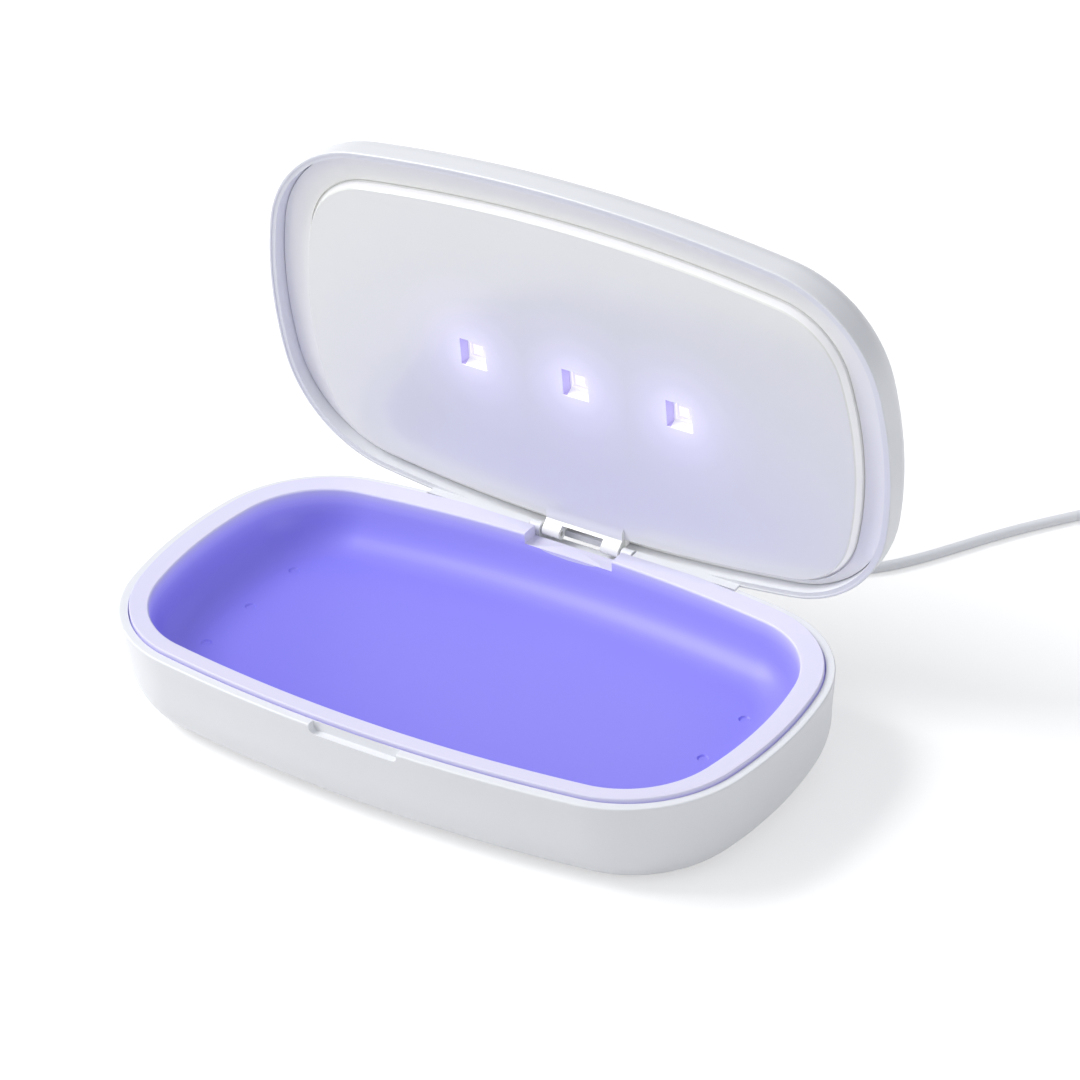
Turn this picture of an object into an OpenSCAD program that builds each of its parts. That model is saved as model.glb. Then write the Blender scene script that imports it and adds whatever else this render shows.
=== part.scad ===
// Ultraviolet sanitizer box for phones, shown with its lid open.
// The origin is on the surface that the feet rest on, under the middle of the box with its lid open.
// X runs along the long side, Y to the hinge side and Z up. All sizes are in millimetres.

/* [Body] */
// Length of the base and the lid
body_len = 228; // [200:1:260]
// Depth of the base and the lid
body_dep = 128; // [110:1:150]
// Radius of the long bowed sides
bow_long = 532; // [450:5:800]
// Radius of the short bowed ends
bow_end = 131; // [120:1:160]
// Radius of the four corners
corner_r = 42.5; // [36:0.5:48]
// Wall of both shells
wall = 2.4; // [1.8:0.1:3]
// Height of the seam between base and lid above the table
seam_z = 32.8; // [29:0.1:38]
// How far the feet stand proud of the bottom
foot_proud = 0.8; // [0.5:0.1:2]
// Height of the lid above the seam
lid_h = 17.5; // [14:0.1:22]
// Inward spread of the rounded bottom edge
bowl_x = 13; // [9:0.5:16]
// Height of the rounded bottom edge
bowl_z = 18; // [12:0.5:20]

/* [Tray] */
// How far the rim stands above the seam
rim_proud = 1.4; // [0.8:0.1:2]
// From the end of the base to the tub
end_land = 10.6; // [9.5:0.1:14]
// From the front of the base to the tub
front_land = 8.9; // [8:0.1:12]
// From the rear of the base to the tub
rear_land = 11; // [10.8:0.1:14]
// Corner radius of the tub opening
tub_r = 31; // [26:0.5:34]
// How far the tub floor lies below the seam
tub_deep = 15.7; // [12:0.1:18]
// Straight band under the rim edge
tub_band = 3; // [2:0.1:5]
// Half width of the tongue notch in the rim
rim_notch = 16.3; // [15:0.1:20]

/* [Front notch] */
// Half width of the finger notch
notch_half = 16; // [10:0.5:24]
// Depth of the finger notch
notch_deep = 3.2; // [2:0.1:4]

/* [Lid] */
// How far the lid stands open
lid_open = 88.5; // [70:0.5:89]
// From the end of the lid to the raised panel
panel_end = 13.5; // [12:0.1:18]
// From the front of the lid to the raised panel
panel_front = 13.6; // [12:0.1:18]
// From the rear of the lid to the raised panel
panel_rear = 5.8; // [5.6:0.1:12]
// Corner radius of the raised panel
panel_r = 26; // [20:0.5:30]
// Height of the step around the raised panel
panel_step = 3; // [2:0.1:4]
// Pitch of the three lamp wells
well_pitch = 38; // [30:0.5:46]
// Mouth of one lamp well
well_mouth = 9.5; // [8:0.1:12]
// Half width of the hinge tongue
tongue_half = 14.2; // [13.6:0.1:14.4]
// Half width of the window in the tongue
window_half = 7.7; // [6:0.1:8.5]

/* [Button] */
// Diameter of the start button
button_d = 12; // [9:0.5:16]
// Travel of the start button
button_travel = 0.5; // [0.3:0.05:0.8]

/* [Cable] */
// Diameter of the cable
cable_d = 3.5; // [3:0.1:4.5]

/* [Hidden] */
$fn = 48;
// Names of the sub-parts
// The one sub-part to draw, or all of them

// Half sizes of the outline
half_len = body_len / 2;
half_dep = body_dep / 2;
// Tub opening and raised panel, each with its centre
tub_len = body_len - 2 * end_land;
tub_dep = body_dep - front_land - rear_land;
tub_y = (front_land - rear_land) / 2;
panel_len = body_len - 2 * panel_end;
panel_dep = body_dep - panel_front - panel_rear;
panel_y = (panel_front - panel_rear) / 2;
// Gap between parts that are fitted by hand
fit = 0.3;
// Small overlap that makes two solids one
weld = 0.6;
// Points on a quarter of an outline, along the end, the corner and the long side
end_pts = 3;
corner_pts = 8;
side_pts = 5;
// Steps of a rounded edge seen in section
round_steps = 8;

// Inner edge of the shell wall at the seam, and the rim edge inside it
wall_edge = wall + 0.5;
rim_edge = wall_edge + 0.4;
// Bottom skins
bottom_z = foot_proud;
room_z = bottom_z + wall;
// Thickness of the tray, the liner and their skirts
skin = 2;
// How far the tray skirt reaches below the seam
skirt_deep = 5;
// Where the draft of the base wall ends
draft = 1.5;
bowl_top = bottom_z + bowl_z;

// Hinge axis, seen along X
hinge_y = half_dep - 3;
hinge_z = seam_z - 0.6;
lug_r = 1.9;
pin_r = 0.8;
pin_play = 0.05;
lug_in = 15.1;
lug_out = 19;
pin_in = 9;
pin_out = 18.2;
// The rear of the base is lowered so that the lid can fold down behind it
relief_half = 58;
relief_y = hinge_y - 2.4;
relief_deep = 4.4;
rail_y = relief_y + fit;
rail_z = seam_z - relief_deep;
shelf_deep = 11.4;
// The lid has a skirt that hides the lowered part
skirt_half = relief_half - 0.6;
skirt_y = hinge_y - 1.2;
skirt_low = 2.4;

// Tub
floor_z = seam_z - tub_deep;
tub_under = floor_z - skin;
rim_z = seam_z + rim_proud;

// Lid, drawn closed: heights above the seam
lip_z = seam_z + 0.4;
band_z = seam_z + 4.9;
panel_z = band_z - panel_step;
lid_top = seam_z + lid_h;
lid_under = lid_top - wall;
// Side of the lid: how far its rounding spreads inward, and where it starts
lid_edge = 0.4;
lid_spread = 12.6;
lid_round_z = seam_z + 6;
well_y = panel_y + 0.9;
well_deep = 3.2;
well_foot = 7;
well_floor = panel_z + well_deep;

// Boards in the base
board_len = 62;
board_dep = 34;
board_t = 1.6;
board_x = 12;
board_y = half_dep - 26.5;
board_z = 8.2;
board_top = board_z + board_t;
board_screw_x = 26;
board_screw_y = 13;
// Socket in the rear wall
socket_x = 12;
socket_z = board_top + 1.7;
pocket_y = half_dep - 4.6;
pocket_len = 14;
pocket_h = 8.4;
// Screws that join the base shell to the tray
base_screw_x = tub_len / 2 - 19.4;
base_screw_y = tub_dep / 2 - 30;
base_boss_r = 4;
base_shank_r = 1.25;
base_head_r = 2.6;
// Round dimples near both ends of the tub floor, three at each end
dimple_r = 1.6;
dimple_pitch = 23.3;
// Feet
foot_x = half_len - 32;
foot_y = half_dep - 28;
foot_r = 6;
foot_sunk = 0.8;

// Lamp board and what it carries, drawn closed
lamp_board_t = 1;
lamp_z = well_floor + 0.8;
lamp_board_len = 2.5 * well_pitch + 13;
lamp_board_dep = 16;
lamp_w = 5;
lamp_window_w = 3.4;
// Screws that hold the lamp board, half a pitch beside the wells
lamp_screw_x = [-1.25, -0.5, 0.5, 1.25] * well_pitch;
lamp_boss_r = 2.6;
lamp_shank_r = 0.9;
// Snap tabs that hold the liner in the lid shell
tab_x = 50;
tab_len = 12;
tab_h = 3;
tab_in = wall + 2.6;
hook = 0.9;
// Start button in the lid top
button_x = 0;
button_y = -24;
button_proud = 0.9;
button_ring = 2.2;
switch_top = lid_under - 1.8;
switch_board_z = switch_top - 4.4;
switch_screw_x = 11;

// Rearmost reach of the open lid, which moves the middle of the whole box
lid_round = bowl_up(lid_edge, lid_spread, lid_round_z, lid_top);
lid_reach = concat([for (p = lid_round, side = [-1, 1]) [side * (half_dep - p[0]), p[1]]],
  [[button_y - button_d / 2, lid_top + button_proud]]);
rear_reach = max([for (p = lid_reach)
  hinge_y + (p[0] - hinge_y) * cos(lid_open) + (p[1] - hinge_z) * sin(lid_open)]);
// Foremost reach of the base, beside the finger notch
front_reach = half_dep - notch_half * notch_half / (2 * bow_long);
back_shift = (rear_reach - front_reach) / 2;

// Cable route: hand chosen points, starting at the strain relief
cable_r = cable_d / 2;
cable_route = [[12, 79, 11.5], [12, 83, 11.3], [12.6, 88, 10], [14.2, 93, 7.4], [17, 98, 4.6],
  [21, 103, 2.6], [27, 107.8, 1.85], [34, 112, 1.75], [42, 116.4, 1.75], [50, 121.2, 1.75],
  [58, 126.6, 1.75], [66, 133.6, 1.75], [73, 142.6, 1.75], [80, 153.6, 1.75], [87, 165, 1.75],
  [95, 176.5, 1.75], [104, 188, 1.75], [112.5, 198.5, 1.75], [118.6, 208, 1.75]];
// Coil that the rest of the cable is wound into, and the end that leaves it for its plug
coil_x = 144.5;
coil_y = 204.5;
coil_r = 20.5;
coil_wide = 3 * cable_d;
coil_high = 2 * cable_d;
tail_route = [[-22.2, -6, 6.6], [-22, 0, 7.9], [-20.3, 5.4, 8.7], [-17.8, 10.2, 8.8], [-14.5, 14.5, 8.8],
  [-10.2, 17.8, 8.8], [-5.3, 19.8, 8.8], [0, 20.5, 8.8], [5.3, 19.8, 9.2], [10.2, 17.8, 9.9],
  [14, 15, 10.6], [17.2, 11.2, 11]];
// Plug at the far end, lying on the coil
charger_turn = -57;
charger_h = 8;

// Centre of a corner arc: it touches the end arc and the side arc from inside
function corner_c(a, b, rl, re, rc) =
  let (ex = a - re, sy = b - rl, d = sqrt(ex * ex + sy * sy), p = re - rc, q = rl - rc)
  let (t = (p * p - q * q + d * d) / (2 * d), h = sqrt(p * p - t * t))
  [ex - t * ex / d - h * sy / d, t * sy / d - h * ex / d];

// Quarter of an outline as turning angles, each with its arc
function quarter(a, b, rl, re, rc, o) =
  let (c = corner_c(a, b, rl, re, rc))
  let (a1 = atan2(c[1], c[0] - (a - re)), a2 = atan2(c[1] - (b - rl), c[0]))
  concat(
    [for (i = [0:end_pts - 1]) let (t = a1 * i / end_pts)
      [a - re + (re - o) * cos(t), (re - o) * sin(t)]],
    [for (i = [0:corner_pts - 1]) let (t = a1 + (a2 - a1) * i / corner_pts)
      [c[0] + (rc - o) * cos(t), c[1] + (rc - o) * sin(t)]],
    [for (i = [0:side_pts]) let (t = a2 + (90 - a2) * i / side_pts)
      [(rl - o) * cos(t), b - rl + (rl - o) * sin(t)]]);

// Whole outline, moved inward by o
function outline(a, b, rl, re, rc, o) =
  let (q = quarter(a, b, rl, re, rc, o), n = len(q))
  concat(
    [for (i = [0:n - 1]) q[i]],
    [for (i = [1:n - 1]) let (p = q[n - 1 - i]) [-p[0], p[1]]],
    [for (i = [1:n - 1]) [-q[i][0], -q[i][1]]],
    [for (i = [1:n - 2]) let (p = q[n - 1 - i]) [p[0], -p[1]]]);

function body_ring(o) = outline(half_len, half_dep, bow_long, bow_end, corner_r, o);
function tub_ring(o) =
  outline(tub_len / 2, tub_dep / 2, bow_long - front_land, bow_end - end_land, tub_r, o);
function panel_ring(o) =
  outline(panel_len / 2, panel_dep / 2, bow_long - panel_front, bow_end - panel_end, panel_r, o);

// Solid through a stack of rings with the same number of points
module loft(rings, heights) {
  n = len(rings[0]);
  m = len(rings);
  pts = [for (k = [0:m - 1]) for (p = rings[k]) [p[0], p[1], heights[k]]];
  sides = [for (k = [0:m - 2]) for (i = [0:n - 1]) let (j = (i + 1) % n)
    [k * n + i, k * n + n + i, k * n + n + j, k * n + j]];
  bottom = [for (i = [0:n - 1]) i];
  top = [for (i = [0:n - 1]) m * n - 1 - i];
  polyhedron(points = pts, faces = concat([bottom], sides, [top]));
}

// Solid under a profile of [inward offset, height] pairs
module body_loft(profile) {
  loft([for (p = profile) body_ring(p[0])], [for (p = profile) p[1]]);
}

module tub_loft(profile) {
  translate([0, tub_y, 0]) loft([for (p = profile) tub_ring(p[0])], [for (p = profile) p[1]]);
}

// Quarter of an ellipse from a flat face to an upright wall
function bowl(o, spread, flat_z, tall) =
  [for (i = [0:round_steps]) let (t = 90 - 90 * i / round_steps)
    [o + spread * (1 - cos(t)), flat_z + tall * (1 - sin(t))]];

// Flat ring between two offsets of the body outline
module body_band(o_out, o_in, z, h) {
  translate([0, 0, z]) linear_extrude(h) difference() {
    polygon(body_ring(o_out));
    polygon(body_ring(o_in));
  }
}

// Box across X between y0 and y1 and z0 and z1
module bar(x0, x1, y0, y1, z0, z1) {
  translate([x0, y0, z0]) cube([x1 - x0, y1 - y0, z1 - z0]);
}

// Same box on the left and on the right
module bars(x0, x1, y0, y1, z0, z1) {
  bar(x0, x1, y0, y1, z0, z1);
  bar(-x1, -x0, y0, y1, z0, z1);
}

// Cylinder along X between x0 and x1 at the hinge axis
module axle(x0, x1, r) {
  translate([x0, hinge_y, hinge_z]) rotate([0, 90, 0]) cylinder(h = x1 - x0, r = r);
}

module axles(x0, x1, r) {
  axle(x0, x1, r);
  axle(-x1, -x0, r);
}

// Copies at the four corners of a rectangle
module four(x, y) {
  for (sx = [-1, 1], sy = [-1, 1]) translate([sx * x, sy * y, 0]) children();
}

// Round pan head with its shank upward
module screw(head_r, head_h, shank_r, shank_l) {
  cylinder(h = head_h, r = head_r, $fn = 32);
  translate([0, 0, head_h]) cylinder(h = shank_l, r = shank_r, $fn = 24);
}

// Moves what is drawn about the centre of the base to its place beside the origin
module placed() {
  translate([0, -back_shift, 0]) children();
}

// Turns what is drawn closed to where the open lid stands
module opened() {
  translate([0, hinge_y - back_shift, hinge_z]) rotate([-lid_open, 0, 0])
    translate([0, -hinge_y, -hinge_z]) children();
}

// Base

module base_outside() {
  body_loft(concat(bowl(draft, bowl_x, bottom_z, bowl_z),
    [[0, seam_z - 0.9], [0.15, seam_z - 0.3], [0.5, seam_z]]));
}

module base_room() {
  body_loft(concat(bowl(draft + wall, bowl_x - wall, room_z, bowl_top - room_z),
    [[wall + 1, seam_z - shelf_deep - 0.6], [wall + 0.9, seam_z - shelf_deep + 0.4]]));
}

module base_shell() placed() color([0.9, 0.91, 0.94]) difference() {
  union() {
    difference() {
      base_outside();
      base_room();
      // Step for the tray skirt
      translate([0, 0, seam_z - skirt_deep]) linear_extrude(20) polygon(body_ring(wall_edge));
      translate([0, 0, seam_z - shelf_deep]) linear_extrude(20) polygon(body_ring(rim_edge + skin + 0.2));
      // Lowered rear
      bar(-relief_half, relief_half, relief_y - skin - fit, half_dep + 1, rail_z, seam_z + 2);
    }
    hinge_rail();
    hinge_lugs();
    socket_pad();
    base_bosses();
  }
  finger_notch();
  socket_cuts();
  foot_seats();
  base_screw_holes();
  // Blind bores for the hinge pins
  axles(lug_in - 1, pin_out, pin_r);
}

// Rail behind the tray that carries the hinge lugs, with a step under the tray skirt
module hinge_rail() {
  intersection() {
    union() {
      bar(-relief_half - 1, relief_half + 1, rail_y, half_dep, seam_z - shelf_deep, rail_z);
      bar(-relief_half - 1, relief_half + 1, relief_y - skin - fit, half_dep, seam_z - shelf_deep,
        seam_z - skirt_deep);
    }
    translate([0, 0, seam_z - 12]) linear_extrude(20) polygon(body_ring(draft));
  }
}

module hinge_lugs() {
  axles(lug_in, lug_out, lug_r);
  bars(lug_in, lug_out, hinge_y - lug_r, hinge_y + lug_r, seam_z - 6, hinge_z);
}

module finger_notch() {
  r = 2;
  low = seam_z - notch_deep;
  translate([0, -half_dep + wall_edge - 0.1, 0]) rotate([90, 0, 0]) linear_extrude(6) {
    translate([-notch_half, low + r]) square([2 * notch_half, 8]);
    translate([-notch_half + r, low]) square([2 * (notch_half - r), 8]);
    for (s = [-1, 1]) translate([s * (notch_half - r), low + r]) circle(r, $fn = 32);
  }
}

// Thick flat pad inside the rear wall, around the socket
module socket_pad() {
  intersection() {
    bar(socket_x - 11, socket_x + 11, pocket_y - 2, half_dep, room_z - 0.5, seam_z - 9);
    body_loft(concat(bowl(draft + 0.2, bowl_x, bottom_z + 0.2, bowl_z),
      [[0.4, seam_z - 6]]));
  }
}

module socket_cuts() {
  r = 2.6;
  // Pocket that the plug body seats in
  translate([socket_x, pocket_y, socket_z]) rotate([-90, 0, 0]) linear_extrude(8) {
    square([pocket_len, pocket_h - 2 * r], center = true);
    square([pocket_len - 2 * r, pocket_h], center = true);
    for (sx = [-1, 1], sy = [-1, 1])
      translate([sx * (pocket_len / 2 - r), sy * (pocket_h / 2 - r)]) circle(r, $fn = 32);
  }
  // Slot that the plug tongue goes through
  translate([socket_x, pocket_y - 4, socket_z]) rotate([-90, 0, 0]) linear_extrude(6) slot_shape(9.4, 3.8);
}

// Flat shape with round ends
module slot_shape(w, h) {
  square([w - h, h], center = true);
  for (s = [-1, 1]) translate([s * (w - h) / 2, 0]) circle(h / 2, $fn = 32);
}

module base_bosses() {
  four(base_screw_x, base_screw_y) translate([0, 0, bottom_z + 0.5])
    cylinder(h = tub_under - 3 - bottom_z - 0.5, r = base_boss_r, $fn = 32);
  translate([board_x, board_y, room_z - weld]) four(board_screw_x, board_screw_y)
    cylinder(h = board_z - room_z + weld, r = 2.6, $fn = 32);
}

module base_screw_holes() {
  four(base_screw_x, base_screw_y) {
    cylinder(h = 40, r = 1.35, $fn = 24);
    cylinder(h = bottom_z + 6.2, r = base_head_r + fit, $fn = 32);
  }
  translate([board_x, board_y, room_z + 0.4]) four(board_screw_x, board_screw_y)
    cylinder(h = board_z, r = 0.85, $fn = 24);
}

module foot_seats() {
  four(foot_x, foot_y) cylinder(h = bottom_z + foot_sunk, r = foot_r, $fn = 48);
}

module feet() placed() color([0.35, 0.35, 0.37]) four(foot_x, foot_y) {
  cylinder(h = 0.4, r1 = foot_r - 0.4, r2 = foot_r);
  translate([0, 0, 0.4]) cylinder(h = bottom_z + foot_sunk - 0.4, r = foot_r);
}

module base_screws() placed() color([0.6, 0.61, 0.63]) four(base_screw_x, base_screw_y)
  translate([0, 0, bottom_z + 4.6]) screw(base_head_r, 1.6, base_shank_r, tub_under - bottom_z - 8);

// Tray with the tub

module tub_inside() {
  top = seam_z - (tub_band - rim_proud);
  tub_loft(concat(bowl(0, 15, floor_z, top - floor_z), [[0, rim_z - 0.5], [-0.15, rim_z - 0.15],
    [-0.5, rim_z + 0.01], [-0.5, rim_z + 1]]));
}

module tub_outside() {
  tub_loft([[15, tub_under], [6, tub_under + 2.2], [0.5, tub_under + 7], [-skin, seam_z - 3],
    [-skin, seam_z]]);
}

module tray() placed() color([0.88, 0.87, 1]) difference() {
  union() {
    tub_outside();
    // Flat rim with a small chamfer on its outer edge
    translate([0, 0, seam_z - 0.6]) linear_extrude(skin - 0.4) polygon(body_ring(rim_edge));
    body_loft([[rim_edge, rim_z - 0.5], [rim_edge + 0.4, rim_z]]);
    body_band(rim_edge, rim_edge + skin, seam_z - skirt_deep, skirt_deep);
    // Wall and saddle at the hinge
    intersection() {
      union() {
        bar(-relief_half - 2, relief_half + 2, relief_y - skin, relief_y, seam_z - skirt_deep, seam_z);
        bar(-rim_notch - skin, rim_notch + skin, hinge_y - 8, relief_y, seam_z - skirt_deep, seam_z);
      }
      translate([0, 0, seam_z - 8]) linear_extrude(12) polygon(body_ring(rim_edge));
    }
    tray_bosses();
  }
  tub_inside();
  // Straight rear edge in front of the hinge rail
  bar(-relief_half - 0.3, relief_half + 0.3, relief_y, half_dep, seam_z - 8, rim_z + 2);
  // Notch for the hinge tongue
  bar(-rim_notch, rim_notch, hinge_y - 9, relief_y + 1, seam_z - 2.3, rim_z + 2);
  four(base_screw_x, base_screw_y) cylinder(h = tub_under, r = base_shank_r, $fn = 24);
  dimples();
}

module tray_bosses() {
  four(base_screw_x, base_screw_y) translate([0, 0, tub_under - 2.8])
    cylinder(h = 3.4, r = base_boss_r - 0.4, $fn = 32);
}

module dimples() {
  for (side = [-1, 1], i = [-1:1]) translate([side * base_screw_x, tub_y - 1 + i * dimple_pitch, floor_z - 0.5])
    cylinder(h = 2, r = dimple_r, $fn = 32);
}

// Electronics in the base

module main_board() placed() color([0.1, 0.35, 0.2]) difference() {
  bar(board_x - board_len / 2, board_x + board_len / 2, board_y - board_dep / 2, board_y + board_dep / 2,
    board_z, board_top);
  translate([board_x, board_y, 0]) four(board_screw_x, board_screw_y) cylinder(h = 30, r = 1.2, $fn = 24);
}

// Chips and other parts on the board, placed from its centre
module board_parts() placed() color([0.12, 0.12, 0.13]) translate([board_x, board_y, board_top]) {
  translate([-18, -7.5, 0]) cube([10, 10, 1.2]);
  translate([6, -13.5, 0]) cube([6, 6, 1]);
  translate([14, -3.5, 0]) cube([7, 7, 3.2]);
  for (i = [0:3]) translate([4 * i - 24, -15.5, 0]) cube([2, 1.2, 0.7]);
}

module board_screws() placed() color([0.6, 0.61, 0.63])
  translate([board_x, board_y, 0]) four(board_screw_x, board_screw_y)
    translate([0, 0, board_top]) rotate([180, 0, 0]) translate([0, 0, -1.2]) screw(1.9, 1.2, 0.85, 5.2);

module usb_socket() placed() color([0.7, 0.71, 0.73])
  translate([socket_x, pocket_y - 2.2, socket_z]) rotate([90, 0, 0]) linear_extrude(7.4) difference() {
    union() {
      slot_shape(9, 3.3);
      translate([-4, -1.7]) square([8, 1.7]);
    }
    slot_shape(8.5, 2.7);
  }

// Hinge

module hinge_pins() placed() color([0.72, 0.73, 0.75]) axles(pin_in, pin_out, pin_r);

// Lid, drawn closed

module lid_outside() {
  body_loft(concat([[1.1, lip_z], [0.35, lip_z], [0.1, lip_z + 0.4], [0.1, lip_z + 1]], lid_round));
}

// Quarter of an ellipse from an upright wall to the flat top
function bowl_up(o, spread, z0, z1) =
  [for (i = [0:round_steps]) let (t = 90 * i / round_steps)
    [o + spread * (1 - cos(t)), z0 + (z1 - z0) * sin(t)]];

module lid_room() {
  body_loft(concat([[wall, lip_z - 1], [wall, lip_z + 2]],
    bowl_up(wall + lid_edge, lid_spread - wall, lid_round_z, lid_under)));
}

module lid_shell() color([0.94, 0.95, 0.98]) opened() difference() {
  union() {
    difference() {
      lid_outside();
      lid_room();
    }
    // Skirt that covers the lowered rear of the base
    translate([0, 0, seam_z - skirt_low]) linear_extrude(skirt_low + 1) intersection() {
      difference() {
        polygon(body_ring(0.35));
        polygon(body_ring(wall));
      }
      translate([-skirt_half, skirt_y]) square([2 * skirt_half, 20]);
    }
    catches();
    switch_posts();
  }
  // Room for the hinge
  bar(-lug_out - 0.4, lug_out + 0.4, hinge_y - 3, half_dep + 2, seam_z - 5, seam_z + 2.2);
  translate([button_x, button_y, lid_under - 1]) cylinder(h = 10, r = button_d / 2 + 0.25, $fn = 64);
  // Seat of the light ring
  translate([button_x, button_y, lid_top - 0.8]) cylinder(h = 4, r = button_d / 2 + button_ring, $fn = 64);
}

// Places of the snap tabs along the front and the two ends
module tab_places(inset) {
  for (x = [-tab_x, 0, tab_x]) translate([x, -half_dep + inset + x * x / (2 * bow_long), 0]) children();
  for (s = [-1, 1]) rotate([0, 0, 90 * s]) translate([0, -half_len + inset, 0]) children();
}

// Ribs inside the lid shell that the tabs hook over
module catches() {
  play = 0.2;
  tab_places(tab_in) translate([-tab_len / 2, -3.2, band_z + skin + play])
    cube([tab_len, 3.2 - play, tab_h - 1 - 3 * play]);
}

module switch_posts() {
  translate([button_x, button_y, switch_board_z + 1]) for (s = [-1, 1])
    translate([s * switch_screw_x, 0, 0]) difference() {
      cylinder(h = lid_under - switch_board_z - 0.6, r = 2, $fn = 32);
      translate([0, 0, -1]) cylinder(h = 4.4, r = 0.8, $fn = 24);
    }
}

module lid_liner() color([0.86, 0.87, 0.9]) opened() difference() {
  union() {
    // Flat band, with the raised panel below it
    translate([0, 0, band_z]) linear_extrude(skin) polygon(body_ring(wall_edge));
    panel_block();
    hinge_tongue();
    snap_tabs();
  }
  // Hollow behind the raised panel
  translate([0, panel_y, 0]) difference() {
    loft([panel_ring(skin), panel_ring(skin)], [panel_z + skin, band_z + skin + 1]);
    translate([0, -panel_y, 0]) {
      well_walls();
      lamp_bosses();
    }
  }
  wells();
  for (x = lamp_screw_x) translate([x, well_y, lamp_z - 2.4]) cylinder(h = 6, r = lamp_shank_r, $fn = 24);
  axles(window_half, tongue_half + 1, pin_r + pin_play);
  // Window in the tongue
  bar(-window_half, window_half, panel_edge() + 0.1, half_dep, seam_z - 5, band_z);
}

function panel_edge() = panel_y + panel_dep / 2;

module panel_block() {
  draft_in = 1.2;
  translate([0, panel_y, 0]) loft(
    [panel_ring(0.3), panel_ring(0), panel_ring(-draft_in), panel_ring(-draft_in)],
    [panel_z, panel_z + 0.3, band_z, band_z + 1]);
}

module hinge_tongue() {
  front = panel_edge() - 4.7;
  face_z = seam_z + 0.8;
  low = 215;
  translate([-tongue_half, 0, 0]) rotate([90, 0, 90]) linear_extrude(2 * tongue_half) {
    polygon([[front, panel_z + 0.5], [front, panel_z], [front + 2, face_z], [hinge_y - 3.5, face_z],
      [hinge_y + lug_r * cos(low), hinge_z + lug_r * sin(low)], [hinge_y, hinge_z],
      [hinge_y - 0.2, hinge_z + 1], [hinge_y - 0.2, band_z + 0.5], [front, band_z + 0.5]]);
    translate([hinge_y, hinge_z]) circle(lug_r, $fn = 48);
  }
}

module well_walls() {
  for (i = [-1:1]) translate([i * well_pitch - 6.5, well_y - 6.5, panel_z + 1]) cube([13, 13, well_deep - 1]);
}

// Tapered square well with an opening for the lamp in its floor
module wells() {
  for (i = [-1:1]) translate([i * well_pitch, well_y, 0]) {
    translate([0, 0, panel_z - 0.01]) rotate([0, 0, 45])
      cylinder(h = well_deep - 0.8 + 0.01, r1 = well_mouth / sqrt(2), r2 = well_foot / sqrt(2), $fn = 4);
    translate([-2.8, -2.8, panel_z]) cube([5.6, 5.6, 6]);
  }
}

module lamp_bosses() {
  for (x = lamp_screw_x) translate([x, well_y, panel_z + 1])
    cylinder(h = lamp_z - panel_z - 1, r = lamp_boss_r, $fn = 32);
}

// Upright tabs with a hook on the outside
module snap_tabs() {
  tab_places(tab_in) translate([-tab_len / 2, 0, band_z + skin - weld]) {
    cube([tab_len, 1.4, tab_h + weld]);
    translate([0, -hook, tab_h + weld - 1]) cube([tab_len, 1.4, 1]);
  }
}

module lamp_board() color([0.9, 0.9, 0.88]) opened() difference() {
  translate([-lamp_board_len / 2, well_y - lamp_board_dep / 2, lamp_z])
    cube([lamp_board_len, lamp_board_dep, lamp_board_t]);
  for (x = lamp_screw_x) translate([x, well_y, lamp_z - 1]) cylinder(h = 4, r = lamp_shank_r + 0.2, $fn = 24);
}

module lamp_bodies() color([0.95, 0.9, 0.75]) opened() for (i = [-1:1]) difference() {
  translate([i * well_pitch - lamp_w / 2, well_y - lamp_w / 2, lamp_z - 1]) cube([lamp_w, lamp_w, 1]);
  translate([i * well_pitch - lamp_window_w / 2, well_y - lamp_window_w / 2, lamp_z - 2])
    cube([lamp_window_w, lamp_window_w, 1.4]);
}

module lamp_windows() color([0.6, 0.55, 1, 0.6]) opened() for (i = [-1:1])
  translate([i * well_pitch - lamp_window_w / 2, well_y - lamp_window_w / 2, lamp_z - 1])
    cube([lamp_window_w, lamp_window_w, 0.3]);

module lamp_screws() color([0.6, 0.61, 0.63]) opened() for (x = lamp_screw_x)
  translate([x, well_y, lamp_z + lamp_board_t + 1.1]) rotate([180, 0, 0]) screw(1.8, 1.1, lamp_shank_r, 3.4);

module lamp_socket() color([0.92, 0.92, 0.88]) opened()
  bar(-lamp_board_len / 2 - 2, 4 - lamp_board_len / 2, well_y - 4, well_y + 4, lamp_z + lamp_board_t,
    lamp_z + lamp_board_t + 3);

// Start button and its switch

module start_button() color([0.9, 0.91, 0.93]) opened() translate([button_x, button_y, 0]) {
  r = button_d / 2;
  translate([0, 0, lid_under - 0.6]) cylinder(h = wall + 0.6 + button_proud - 0.5, r = r, $fn = 64);
  translate([0, 0, lid_top + button_proud - 0.5]) cylinder(h = 0.5, r1 = r, r2 = r - 0.5, $fn = 64);
  translate([0, 0, lid_under - 0.8]) cylinder(h = 0.6, r = r + 1, $fn = 64);
  translate([0, 0, switch_top + 0.05]) cylinder(h = 0.8, r = 1.5, $fn = 32);
}

module tact_switch() color([0.15, 0.15, 0.16]) opened() translate([button_x, button_y, 0]) {
  translate([-3, -3, switch_board_z + 1]) cube([6, 6, 2.6]);
  translate([0, 0, switch_board_z + 3.6]) cylinder(h = switch_top - button_travel - switch_board_z - 3.6, r = 1.6);
}

module switch_board() color([0.1, 0.35, 0.2]) opened() translate([button_x, button_y, switch_board_z])
  difference() {
    translate([-14, -6, 0]) cube([28, 12, 1]);
    for (s = [-1, 1]) translate([s * switch_screw_x, 0, -1]) cylinder(h = 3, r = 1, $fn = 24);
  }

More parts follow.
